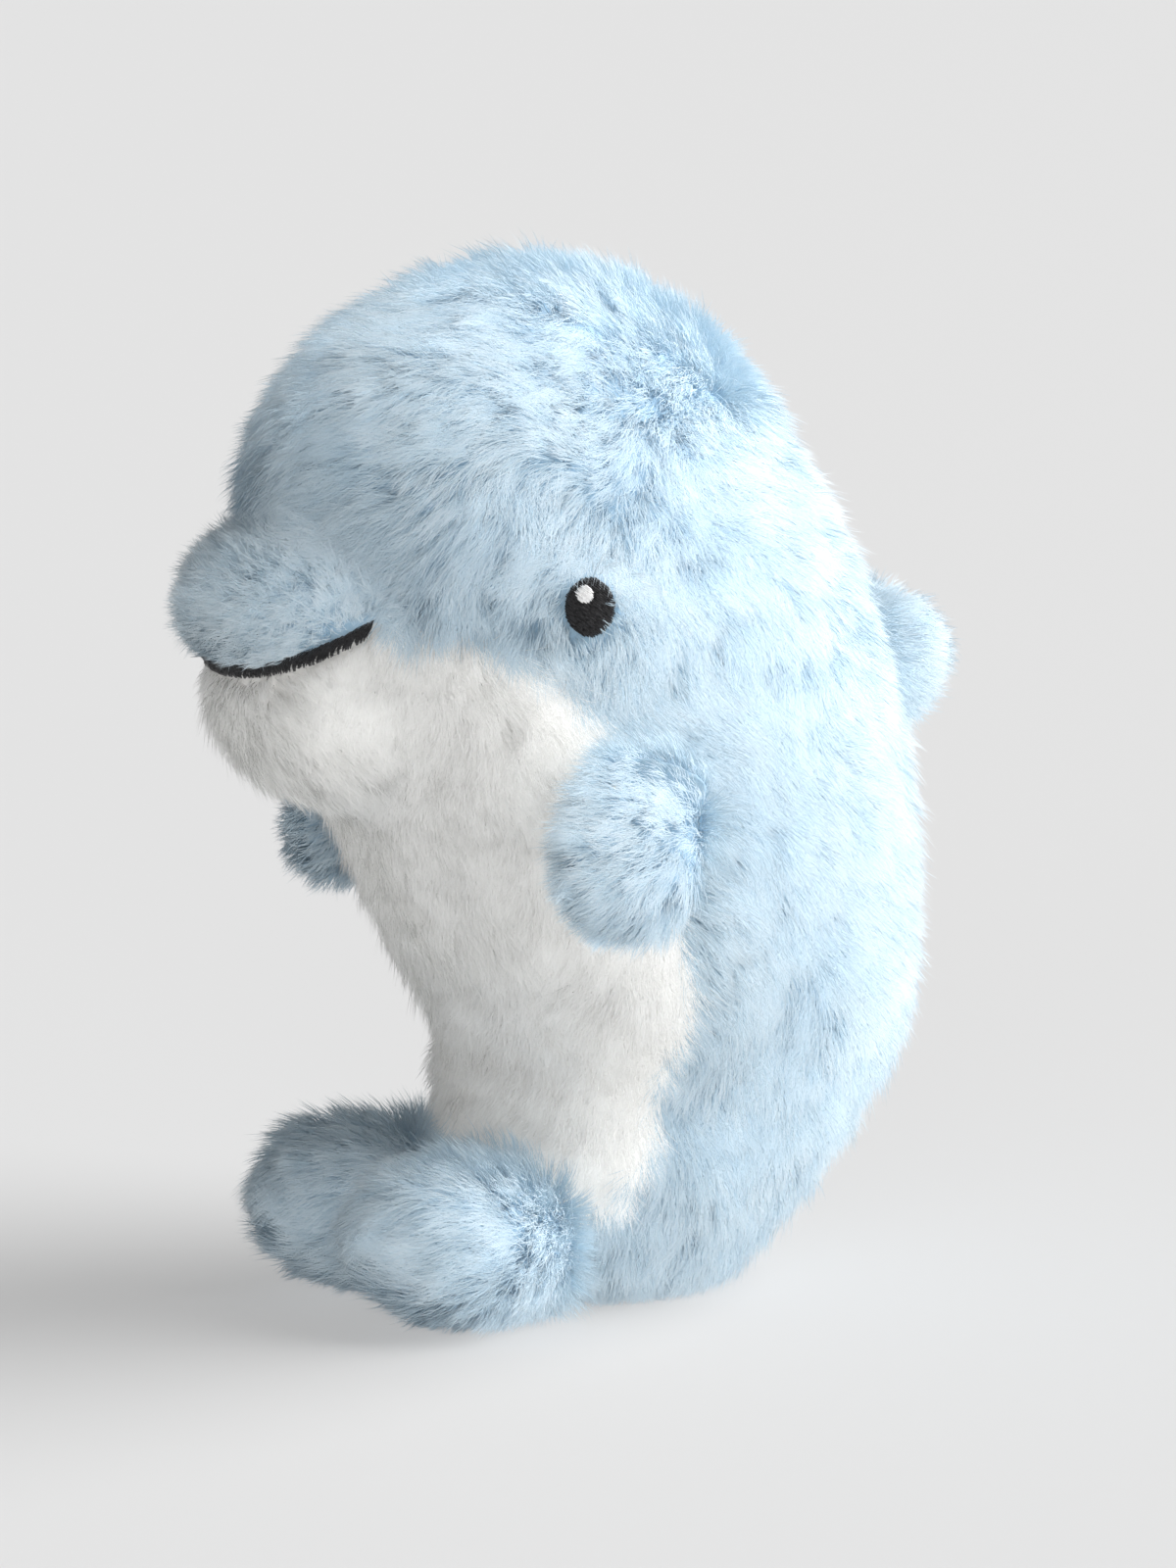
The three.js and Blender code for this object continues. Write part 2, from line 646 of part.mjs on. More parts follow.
const flukeHinge = {
  point: new THREE.Vector3(FLUKE_ROOT_SIDE, -FLUKE_HINGE_FORWARD, FLUKE_HINGE_LEVEL),
  axis: leftward.clone().negate(),
};
const flukeHeading = ahead.clone().applyAxisAngle(upward, radians(FLUKE_SPLAY));
const flukeTurn = new THREE.Matrix4()
  .makeBasis(upward, upward.clone().cross(flukeHeading), flukeHeading.clone().negate())
  .multiply(new THREE.Matrix4().makeRotationY(-radians(FLUKE_PITCH)));
const flukeBox = new THREE.Box3().setFromBufferAttribute(
  paddle(FLUKE_SECTIONS, FLUKE_LENGTH).applyMatrix4(flukeTurn).attributes.position,
);
const fluke = limb({
  sections: FLUKE_SECTIONS,
  length: FLUKE_LENGTH,
  pile: FLUKE_PILE,
  place: flukeTurn.clone().setPosition(
    FLUKE_ROOT_SIDE,
    -FLUKE_ROOT_FORWARD,
    -flukeBox.min.z - BASE_CUT,
  ),
  clear: sweptBody(flukeHinge, [0, FLUKE_LIFT])
    .add(belowFloor)
    .add(halfSpace(leftward.clone().multiplyScalar(GAP / 2), leftward.clone().negate()))
    .add(halfSpace(ahead.clone().multiplyScalar(FLUKE_SEAM_FORWARD), ahead.clone().negate())),
});
addPiece('left_fluke_top_panel', fluke.front, BLUE, 1);
addPiece('left_fluke_bottom_panel', fluke.rear, BLUE, 1);
addPiece('left_fluke_stuffing', fluke.fill, FIBRE, 1);
addPiece('right_fluke_top_panel', mirrored(fluke.front), BLUE, 1);
addPiece('right_fluke_bottom_panel', mirrored(fluke.rear), BLUE, 1);
addPiece('right_fluke_stuffing', mirrored(fluke.fill), FIBRE, 1);

// The hinge lines about which the limbs swing
group.userData.hinges = {
  left_flipper: leftFlipper.hinge,
  right_flipper: mirroredHinge(rightFlipper.hinge),
  dorsal_fin: finHinge,
  left_fluke: flukeHinge,
  right_fluke: mirroredHinge(flukeHinge),
};

export default group;
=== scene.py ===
import math

import bmesh
import bpy
import numpy as np
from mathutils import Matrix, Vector
from mathutils.bvhtree import BVHTree
from mathutils.kdtree import KDTree


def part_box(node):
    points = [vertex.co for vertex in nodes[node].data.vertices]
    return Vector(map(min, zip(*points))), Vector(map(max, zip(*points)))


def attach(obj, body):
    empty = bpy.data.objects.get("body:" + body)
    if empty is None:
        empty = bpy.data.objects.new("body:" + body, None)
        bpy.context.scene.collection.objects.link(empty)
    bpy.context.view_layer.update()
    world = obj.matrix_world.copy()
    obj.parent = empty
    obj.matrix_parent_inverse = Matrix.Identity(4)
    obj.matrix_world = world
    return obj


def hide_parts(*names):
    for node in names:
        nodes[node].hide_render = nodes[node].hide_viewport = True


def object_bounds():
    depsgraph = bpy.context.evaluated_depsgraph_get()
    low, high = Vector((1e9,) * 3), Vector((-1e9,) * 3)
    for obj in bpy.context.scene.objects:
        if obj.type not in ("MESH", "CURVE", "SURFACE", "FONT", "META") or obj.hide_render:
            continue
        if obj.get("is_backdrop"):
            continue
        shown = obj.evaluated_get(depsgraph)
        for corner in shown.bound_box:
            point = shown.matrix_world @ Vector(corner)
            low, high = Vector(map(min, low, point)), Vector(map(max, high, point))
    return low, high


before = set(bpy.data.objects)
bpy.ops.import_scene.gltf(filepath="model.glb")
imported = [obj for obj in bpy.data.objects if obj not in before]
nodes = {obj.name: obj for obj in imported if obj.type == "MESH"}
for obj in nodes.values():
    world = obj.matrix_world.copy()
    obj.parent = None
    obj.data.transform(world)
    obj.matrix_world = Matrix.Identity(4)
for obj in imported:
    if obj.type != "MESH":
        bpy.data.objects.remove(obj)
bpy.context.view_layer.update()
MM = 0.001  # lengths below are in millimetres
WAVE_SPREAD = (0.6, 1.5)  # of the wave numbers in smooth noise

# Nodes of the body
BLUE_PANELS = ["left_side_panel", "right_side_panel", "upper_beak_panel"]
WHITE_PANELS = ["chin_panel", "chest_panel", "lower_belly_panel"]
BODY_PANELS = BLUE_PANELS + WHITE_PANELS
BODY_INNER = ["mouth_stitch", "left_eye", "right_eye", "body_stuffing"]
POUCH = ["pellet_pouch_cup", "pellet_pouch_cover", "pellet_fill"]

# Limbs: panels, depth of the backing, root of the fan of pile, and the fin's tuck into the back
FLIPPER_PANELS, FIN_PANELS = ("outer_panel", "inner_panel"), ("left_panel", "right_panel")
FLUKE_PANELS = ("top_panel", "bottom_panel")
LIMBS = {
    "left_flipper": dict(panels=FLIPPER_PANELS, inset=4.6, root=(66, -2, 122)),
    "right_flipper": dict(panels=FLIPPER_PANELS, inset=4.6, root=(-66, 1, 115)),
    "dorsal_fin": dict(panels=FIN_PANELS, inset=4.2, root=(0, 66, 148), tuck=6.0),
    "left_fluke": dict(panels=FLUKE_PANELS, inset=6.0, root=(20, 22, 21)),
    "right_fluke": dict(panels=FLUKE_PANELS, inset=6.0, root=(-20, 22, 21)),
}
SEAT_REACH = (9, 2.5)  # distances from the body over which the fin's root is led in

# Skins round the solids
BODY_VOXEL, BODY_ROUNDS = 2.5, 24
LIMB_VOXEL, LIMB_ROUNDS = 1.5, 20
SHRINK, REGROW = 0.55, -0.52  # by turns, while a skin is smoothed
INSET_ROUNDS = 4
BACKING_CLEARANCE, PILE_CLEARANCE = 0.3, 0.25  # above the floor

# Pile
STRANDS = 5.0  # on each square millimetre of backing
STRAND_WIDTH = 0.19
STRAND_TAPER = np.array([1.0, 0.95, 0.7])  # of the width, from the root on
SPANS = (1 / 6, 3 / 6, 5 / 6)  # middles of a strand's three spans
STRAND_POINTS, STRAND_CORNERS, STRAND_FACES = 7, 11, 3  # of the ribbon of one strand
SWEEP_START = 0.2  # share of a strand below which its bend turns it back
LEAST_LEAN, MOST_LEAN = 2, 88  # degrees from upright
BUNDLE = 7  # strands that grow from about one place
TUFT = 14  # bundles that lean together
UNDER_SHARE, UNDER_HEIGHT, UNDERPILE_PAINTED_SHADE = 0.2, 0.55, -0.15  # of the short underpile between the long strands; its lower tone is painted shade under the long pile, which casts no shadow
BLUE_DEPTH, WHITE_DEPTH, BEAK_DEPTH = 6.5, 4.5, 5.8  # of the backing below the skin
TRIMMED_DEPTH = 2.1  # where the pile is embroidered or stands on the floor
PILE_OVER, BEAK_OVER = 0.9, 1.5  # of the tips past the skin, and more on the beak

# How tufts differ, bundles differ in a tuft and strands differ in a bundle
TUFT_TURN, BUNDLE_TURN, STRAND_TURN = 0.22, 0.2, 0.32  # radians
TUFT_LEAN, BUNDLE_LEAN, STRAND_LEAN = 5.0, 5.0, 7.0  # degrees
TUFT_REACH, BUNDLE_REACH, STRAND_REACH = (0.88, 1.10), (0.82, 1.12), (0.80, 1.08)
TUFT_TONE, BUNDLE_TONE, STRAND_TONE = 0.13, 0.06, 0.09
BUNDLE_BEND, STRAND_BEND = 0.3, 0.4  # radians
TUFT_BLUR, BUNDLE_SIZE = 0.9, 0.5  # of the borders between tufts, and of the roots in a bundle
TUFT_HOLD = 0.75  # share of its tuft's turn that a bundle takes
BUNDLE_LOOSE = 0.6  # share of its place in the bundle that a strand keeps
TUFT_PULL, BUNDLE_PULL = (0.4, 1.0), (0.25, 0.8)  # towards the tuft's and the bundle's own curve
TUFT_SHAPE = np.array([0, 0.2, 0.5, 0.75])  # of the pull at each point of a strand
BUNDLE_SHAPE = np.array([0, 0.25, 0.55, 0.8])

# Shading of a strand
TONE_WIDTH = 0.004  # of a strand on its map of tones
MAP_MARGIN = 0.01
LEAST_TONE, MOST_TONE = 0.01, 0.99
TWIST = 0.4
ROUNDNESS = 60  # degrees that the edges of a strand are shaded aside, as on a round fibre
PANEL_SHADE, STRAND_SHADE = 0.8, 0.25  # shares of the panel's and the strand's direction

# Edges, seams and trimmed places of the body
WHITE_EDGE, BEAK_EDGE = 1.5, 2.0
BELLY_CREASE_WIDTH, BEAK_CREASE_WIDTH, TOP_SEAM_WIDTH = 5.0, 6.0, 4.0
BELLY_CREASE_DEPTH, BEAK_CREASE_DEPTH, TOP_SEAM_DEPTH = 1.6, 2.0, 1.0
CREASE_NEAR, CREASE_FAR = 4, 12  # most distances of a crease from its two panels
TOP_SEAM_HEIGHT = (185, 200)
EYE_CENTRE = np.array([64.9, -39.8, 168.6])
EYE_HALF = (6.0, 7.0)
FACE_MIDDLE, NO_EYE = 30, 9  # half width of the strip without eyes, and the eye ring put in there
MOUTH_TRIM, EYE_TRIM, BASE_TRIM = (6, 1.5), (2.0, 1.05), (6, 1)  # full to trimmed, the second in eye rings
EYE_HAIRS = 0.05  # share of the pile that stays on an eye
MOUTH_CLEAR = 0.9  # between the mouth and the nearest roots

# Lie of the pile on the left half of the body: directions, and the distances over which they change
TAIL_SLANT, BACK_SLANT, SLANT_HEIGHT = -0.10, 0.55, (40, 90)
CROWN_HEIGHT = (188, 222)
FACE_HEIGHT, FACE_FRONT = (150, 185), (-20, -55)
PARTING = (60, 30)
SEAM_STRIP, SEAM_LIE = (1, 10), 0.3  # beside the top seam, and the share of the lie on it
FACE_LIE = np.array([0, -1.1, 0.45])
AHEAD_LIE = np.array([0, -1.0, 0.3])
BEHIND_LIE = np.array([0.3, 0.8, 0])
ASIDE_LIE = np.array([0.6, 0, 0])
WHITE_LIE = np.array([0, 0.25, -1.0])
BEAK_ROOT, BEAK_LIE = np.array([0, -64.0, 163.0]), np.array([0, -0.5, 0.2])
EYE_PUSH, EYE_FADE = 1.2, 0.75
MOUTH_PUSH, MOUTH_FADE = 2.5, (5, 1)
COMBING, BEAK_LOOSE = 1.8, 0.6
STRAY = 0.8  # radians where the pile isn't combed
WIDE_SWIRL, WIDE_SIZE = 0.30, 60
FINE_SWIRL, FINE_SIZE = 0.20, 22

# Build of the body's pile
ROOT_LEAN, TIP_LEAN = 25, 66  # degrees
COMBED_LEAN, WHITE_LEAN, BEAK_LEAN = (5, 10), (8, 9), (-10, -18)  # more at root and tip
LEAN_WAVE, LEAN_SIZE = 4, 26
CLUMP, WHITE_CLUMP = 0.65, -0.5
WHITE_DENSER, LOOSE_DENSER = 0.5, 1.3
WHITE_UNDER, LOOSE_UNDER = 0.5, 0.1
# Tone of the body's pile: lighter where it isn't combed, painted light against the shade seen into upright
# pile
LOOSE_PAINTED_LIGHT_TONE, COMBED_TONE = 0.95, -0.4
TONE_WAVE, TONE_SIZE = 0.09, 34
BODY_SEED = 11
LEVELS = [(-1, 62, "tail"), (62, 118, "back"), (118, 168, "cheek"), (168, 205, "head"), (205, 999, "crown")]

# Build of the limbs' pile
LIMB_DENSER = 1.25
LIMB_COMBED = (0, 6)
LIMB_STRAY = 0.9
LIMB_LEAN, LIMB_COMBED_LEAN = (20, 58), (12, 20)
LIMB_SWIRL, LIMB_SWIRL_SIZE = 0.15, 30
LIMB_LEAN_WAVE, LIMB_LEAN_SIZE = 4, 20
LIMB_TONE, LIMB_TONE_WAVE, LIMB_TONE_SIZE = 0.65, 0.08, 30
LIMB_UNDER = 0.7
LIMB_BARE = (0.6, 0.3)  # how hidden a place is where its pile ends, and where it is full
LIMB_SEED, SWIRL_SEED, LEAN_SEED, TONE_SEED = 40, 50, 60, 70

# Stuffing, pouch and pellets
FIBRE_ROUNDS = 12
WIDE_LUMP, FINE_LUMP, FINE_SHARE = 22, 9, 0.5
FIBRE_SEED, LIMB_FIBRE_SEED, POUCH_SEED, PELLET_SEED = 80, 82, 95, 97
PUCKER_HEIGHT, PUCKER_SIZE = 0.22, 9
PELLET_SIZE = 5.0
LAYER_PITCH, ROW_PITCH, ROW_SHIFT = 0.80, 0.87, 0.5  # shares of a pellet's size
PELLET_SHAKE, PELLET_WALL, PELLET_RADIUS = 0.03, 0.52, 0.48
PELLET_STRETCH = (0.9, 1.04)

# Embroidery
STITCH_POINTS = 6
STITCH_WAY, STITCH_ASIDE = np.array([0.79, 0.61]), np.array([-0.61, 0.79])
THREAD_END, THREAD_TAPER = 0.55, 0.15  # thickness at both ends, and share of the length that tapers
ROW_REACH = 1.1  # of the rows tried, for each unit of the ellipse
ROW_SHAKE, END_SHAKE, CUT_SHAKE, SIDE_SHAKE, LEVEL_SHAKE = 0.1, (-0.2, 0.3), 0.4, 0.12, 0.05
STITCH_OVERLAP, STITCH_TILT = 0.15, 0.10
CUSHION_RINGS, CUSHION_DROP = (0.2, 0.5, 0.75, 0.92, 1), 0.7
EYE_MARGIN, SHINE_MARGIN = 0.6, 0.2  # of the stitches inside the edge of the CAD oval
EYE_SEED, MOUTH_SEED = 100, 110
MOUTH_REACH, MOUTH_STEP, MOUTH_PROBE = 32, 0.4, 0.2  # bearings in degrees, and the step up the band
MOUTH_PITCH, MOUTH_SLANT, MOUTH_SLANT_SPREAD, MOUTH_SHIFT = 0.0046, 0.016, 0.004, 0.001  # radians
MOUTH_LOW, MOUTH_HIGH = (0, 0.1), (0.9, 1)  # shares of the band's height where a stitch ends
MOUTH_BULGE, MOUTH_SINK, MOUTH_EDGE, MOUTH_RADIUS = 0.3, 0.1, 0.03, 0.29
ENDS, END_START, END_REACH, END_TURN = 260, (0, 0.9), (0.1, 0.5), 0.02  # of the loose ends of thread
END_BULGE, END_RADIUS, END_SIDES = 0.8, 0.07, 3
FAR = 200  # well outside the toy

# Camera and floor
SENSOR = 36
CAMERA_DISTANCE, PICTURE_HEIGHT, TARGET_HEIGHT = 1300, 363.7, 117.8
CAMERA_BEARING, CAMERA_HEIGHT = 58, 9  # degrees
FLOOR_HALF, FARTHEST = 40, 100  # metres


# Plain vector helpers


def unit(v):
    return v / np.maximum(np.linalg.norm(v, axis=-1, keepdims=True), 1e-9)


def dot(a, b):
    return (a * b).sum(-1)


def smooth(low, high, x):
    t = np.clip((x - low) / (high - low), 0, 1)
    return t * t * (3 - 2 * t)


def waves(points, size, seed, count=18):
    """Smooth noise of about that size in millimetres, with a mean of 0 and a spread of 1."""
    rng = np.random.default_rng(seed)
    k = unit(rng.normal(size=(count, 3))) * (2 * math.pi / size)
    k = k * rng.uniform(*WAVE_SPREAD, (count, 1))
    phase = rng.uniform(0, 2 * math.pi, count)
    return np.cos(points @ k.T + phase).sum(1) * math.sqrt(2 / count)


def turned(v, axis, angle):
    """Each row of v turned about its unit axis."""
    c, s = np.cos(angle)[:, None], np.sin(angle)[:, None]
    return v * c + np.cross(axis, v) * s + axis * (dot(axis, v) * (1 - c[:, 0]))[:, None]


def bearing_vector(bearing, height):
    """The way to a bearing and a height, both in degrees."""
    turn, rise = math.radians(bearing), math.radians(height)
    return Vector((math.sin(turn) * math.cos(rise), -math.cos(turn) * math.cos(rise), math.sin(rise)))


# Smooth surfaces round the CAD solids


class Surface:
    def __init__(self, points, triangles):
        self.points = points
        self.triangles = triangles
        self.measure()

    def measure(self):
        a, b, c = (self.points[self.triangles[:, i]] for i in range(3))
        cross = np.cross(b - a, c - a)
        self.areas = np.linalg.norm(cross, axis=1) / 2
        normals = np.zeros_like(self.points)
        for i in range(3):
            np.add.at(normals, self.triangles[:, i], cross)
        self.normals = unit(normals)

    def relaxed(self, rounds):
        edges = np.concatenate([self.triangles[:, [i, (i + 1) % 3]] for i in range(3)])
        count = np.bincount(edges[:, 0], minlength=len(self.points))[:, None]
        points = self.points
        for i in range(rounds):
            total = np.zeros_like(points)
            np.add.at(total, edges[:, 0], points[edges[:, 1]])
            step = SHRINK if i % 2 == 0 else REGROW
            points = points + step * (total / np.maximum(count, 1) - points)
        return Surface(points, self.triangles)

    def inset(self, depth):
        moved = Surface(self.points - self.normals * depth[:, None], self.triangles)
        return moved.relaxed(INSET_ROUNDS)

    def scatter(self, density, rng):
        """Random places on the surface: the corners of their triangles and the weights of these."""
        per_face = self.areas * density[self.triangles].mean(1)
        count = int(per_face.sum())
        total = np.cumsum(per_face)
        face = np.searchsorted(total, rng.uniform(0, total[-1], count))
        face = np.minimum(face, len(self.triangles) - 1)
        u, v = rng.uniform(size=(2, count))
        flip = u + v > 1
        u, v = np.where(flip, 1 - u, u), np.where(flip, 1 - v, v)
        return self.triangles[face], np.stack([1 - u - v, u, v], 1)


def at(values, corners, weights):
    """Values of the surface's points, read between three corners."""
    picked = values[corners]
    if picked.ndim == 2:
        return (picked * weights).sum(1)
    return (picked * weights[:, :, None]).sum(1)


def largest_shell(bm):
    """The faces of the largest part of a mesh that hangs together."""
    seen, best = set(), []
    for first in bm.faces:
        if first in seen:
            continue
        shell, todo = [], [first]
        seen.add(first)
        while todo:
            face = todo.pop()
            shell.append(face)
            for edge in face.edges:
                for other in edge.link_faces:
                    if other not in seen:
                        seen.add(other)
                        todo.append(other)
        if len(shell) > len(best):
            best = shell
    return set(best)


def skin(names, voxel, rounds):
    """One smooth closed surface round some CAD solids."""
    points, faces = [], []
    for name in names:
        mesh = nodes[name].data
        start = len(points)
        points += [tuple(v.co / MM) for v in mesh.vertices]
        faces += [tuple(start + i for i in f.vertices) for f in mesh.polygons]
    mesh = bpy.data.meshes.new("skin")
    mesh.from_pydata(points, [], faces)
    ob = bpy.data.objects.new("skin", mesh)
    bpy.context.scene.collection.objects.link(ob)
    remesh = ob.modifiers.new("remesh", "REMESH")
    remesh.mode = "VOXEL"
    remesh.voxel_size = voxel
    graph = bpy.context.evaluated_depsgraph_get()
    made = bpy.data.meshes.new_from_object(ob.evaluated_get(graph))
    bpy.data.objects.remove(ob)
    bm = bmesh.new()
    bm.from_mesh(made)
    bmesh.ops.triangulate(bm, faces=bm.faces)
    keep = largest_shell(bm)
    bmesh.ops.delete(bm, geom=[f for f in bm.faces if f not in keep], context="FACES")
    bm.verts.index_update()
    points = np.array([v.co for v in bm.verts])
    triangles = np.array([[v.index for v in f.verts] for f in bm.faces])
    bm.free()
    bpy.data.meshes.remove(made)
    bpy.data.meshes.remove(mesh)
    return Surface(points, triangles).relaxed(rounds)


def solid_tree(name):
    """A CAD solid, ready to be searched for its nearest place."""
    mesh = nodes[name].data
    return BVHTree.FromPolygons([v.co / MM for v in mesh.vertices], [f.vertices[:] for f in mesh.polygons])


def away(points, name):
    """Distance of each point to a CAD solid."""
    tree = solid_tree(name)
    return np.array([tree.find_nearest(point)[3] for point in points])


def apart(points, name):
    """Direction of each point from the nearest place on a CAD solid."""
    tree = solid_tree(name)
    return unit(points - np.array([tree.find_nearest(point)[0] for point in points]))


# Materials


def material(name, rough=0.8, sheen=0.0, specular=0.25):
    mat = bpy.data.materials.new(name)
    mat.use_nodes = True
    tree = mat.node_tree
    shader = tree.nodes["Principled BSDF"]
    shader.inputs["Roughness"].default_value = rough
    shader.inputs["Specular IOR Level"].default_value = specular
    shader.inputs["Sheen Weight"].default_value = sheen
    shader.inputs["Sheen Roughness"].default_value = 0.45
    return mat, tree, shader


def ramp(tree, stops):
    node = tree.nodes.new("ShaderNodeValToRGB")
    elements = node.color_ramp.elements
    while len(elements) < len(stops):
        elements.new(0.5)
    for element, (place, colour) in zip(elements, stops):
        element.position = place
        element.color = (*colour, 1)
    return node


def pile_material(name, dark, light):
    """Pile whose colour runs from a darker root, painted shade in the depth of the pile, to a lighter tip,
    between a dark and a light strand.
    """
    mat, tree, shader = material(name, rough=0.7, sheen=0.15, specular=0.2)
    uv = tree.nodes.new("ShaderNodeUVMap")
    uv.uv_map = "OFBake"
    split = tree.nodes.new("ShaderNodeSeparateXYZ")
    low, high = ramp(tree, dark), ramp(tree, light)
    mix = tree.nodes.new("ShaderNodeMix")
    mix.data_type = "RGBA"
    tree.links.new(uv.outputs["UV"], split.inputs[0])
    tree.links.new(split.outputs["X"], low.inputs["Fac"])
    tree.links.new(split.outputs["X"], high.inputs["Fac"])
    tree.links.new(split.outputs["Y"], mix.inputs["Factor"])
    tree.links.new(low.outputs["Color"], mix.inputs["A"])
    tree.links.new(high.outputs["Color"], mix.inputs["B"])
    tree.links.new(mix.outputs["Result"], shader.inputs["Base Color"])
    return mat


def cloth_material(name, low, high, scale, rough=0.9, depth=0.0004):
    """Woven or felted cloth: fine threads with uneven colour."""
    mat, tree, shader = material(name, rough=rough, sheen=0.1)
    place = tree.nodes.new("ShaderNodeTexCoord")
    noise = tree.nodes.new("ShaderNodeTexNoise")
    noise.inputs["Scale"].default_value = scale
    noise.inputs["Detail"].default_value = 6
    colours = ramp(tree, [(0.3, low), (0.7, high)])
    bump = tree.nodes.new("ShaderNodeBump")
    bump.inputs["Distance"].default_value = depth
    tree.links.new(place.outputs["Object"], noise.inputs["Vector"])
    tree.links.new(noise.outputs["Fac"], colours.inputs["Fac"])
    tree.links.new(noise.outputs["Fac"], bump.inputs["Height"])
    tree.links.new(colours.outputs["Color"], shader.inputs["Base Color"])
    tree.links.new(bump.outputs["Normal"], shader.inputs["Normal"])
    return mat


# Both piles darken from tip to root (the white one towards a warm grey): the darker root is painted shade in
# the depth of the pile
BLUE_PILE = pile_material(
    "blue_pile",
    dark=[(0.0, (0.32, 0.47, 0.60)), (0.45, (0.44, 0.58, 0.68)), (1.0, (0.54, 0.66, 0.73))],
    light=[(0.0, (0.38, 0.53, 0.64)), (0.45, (0.56, 0.68, 0.75)), (1.0, (0.74, 0.80, 0.84))],
)
WHITE_PILE = pile_material(
    "white_pile",
    dark=[(0.0, (0.80, 0.795, 0.775)), (0.45, (0.85, 0.85, 0.835)), (1.0, (0.88, 0.88, 0.865))],
    light=[(0.0, (0.83, 0.825, 0.81)), (0.45, (0.89, 0.89, 0.88)), (1.0, (0.94, 0.94, 0.93))],
)
# The backings take the darker colour of the pile's roots: painted shade at the foot of the pile
BLUE_BACKING = cloth_material("blue_backing", (0.32, 0.47, 0.60), (0.38, 0.53, 0.64), scale=900)
WHITE_BACKING = cloth_material("white_backing", (0.80, 0.79, 0.77), (0.84, 0.83, 0.81), scale=900)
FIBRE = cloth_material("fibre_fill", (0.78, 0.76, 0.70), (0.92, 0.90, 0.86), scale=260, depth=0.002)
CALICO = cloth_material("calico", (0.60, 0.52, 0.40), (0.74, 0.66, 0.53), scale=1400)
PELLETS = cloth_material("pellet_plastic", (0.70, 0.67, 0.60), (0.86, 0.84, 0.78), scale=500, rough=0.4)
BLACK_THREAD = cloth_material(
    "black_thread", (0.006, 0.006, 0.007), (0.03, 0.03, 0.032), scale=1800, rough=0.36
)
WHITE_THREAD = cloth_material("white_thread", (0.80, 0.80, 0.80), (0.95, 0.95, 0.95), scale=1800, rough=0.5)


# Pieces


def new_piece(name, mesh, mat, body_name, node):
    mesh.materials.append(mat)
    ob = bpy.data.objects.new(name, mesh)
    bpy.context.scene.collection.objects.link(ob)
    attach(ob, body_name)
    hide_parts(node)
    return ob


def shade_smooth(mesh):
    mesh.polygons.foreach_set("use_smooth", np.ones(len(mesh.polygons), bool))


def mesh_of(name, points, triangles):
    mesh = bpy.data.meshes.new(name)
    points = np.column_stack([points[:, :2], np.maximum(points[:, 2], BACKING_CLEARANCE)])
    mesh.from_pydata((points * MM).tolist(), [], triangles.tolist())
    shade_smooth(mesh)
    mesh.update()
    return mesh


def part_of(surface, chosen):
    """The chosen triangles of a surface, with only their own points."""
    triangles = surface.triangles[chosen]
    used, triangles = np.unique(triangles, return_inverse=True)
    return surface.points[used], triangles.reshape(-1, 3)


def backing_piece(node, surface, chosen, mat, body_name):
    """The backing of one panel."""
    mesh = mesh_of(node, *part_of(surface, chosen))
    piece = new_piece(node.replace("_panel", "_backing"), mesh, mat, body_name, node)


# Pile


def curve(start, normal, direction, reach, lean, bend):
    """Four points of each strand, which leans over and bends aside as it grows."""
    points = [start]
    for share in SPANS:
        angle = lean[:, 0] + (lean[:, 1] - lean[:, 0]) * share
        angle = np.radians(np.clip(angle, LEAST_LEAN, MOST_LEAN))
        way = turned(direction, normal, bend * (share - SWEEP_START))
        step = normal * np.cos(angle)[:, None] + way * np.sin(angle)[:, None]
        points.append(points[-1] + step * (reach / 3)[:, None])
    return np.stack(points, 1)


def standing(low, high):
    """Height of a strand for each millimetre of its length."""
    return sum(np.cos(np.radians(low + (high - low) * share)) for share in SPANS) / 3


def nearest_tuft(roots, centres, rng):
    """The tuft that each bundle belongs to, with blurred borders."""
    tree = KDTree(len(centres))
    for i, j in enumerate(centres):
        tree.insert(roots[j], i)
    tree.balance()
    blurred = roots + rng.normal(scale=TUFT_BLUR, size=(len(roots), 3))
    return np.array([tree.find(place)[1] for place in blurred])


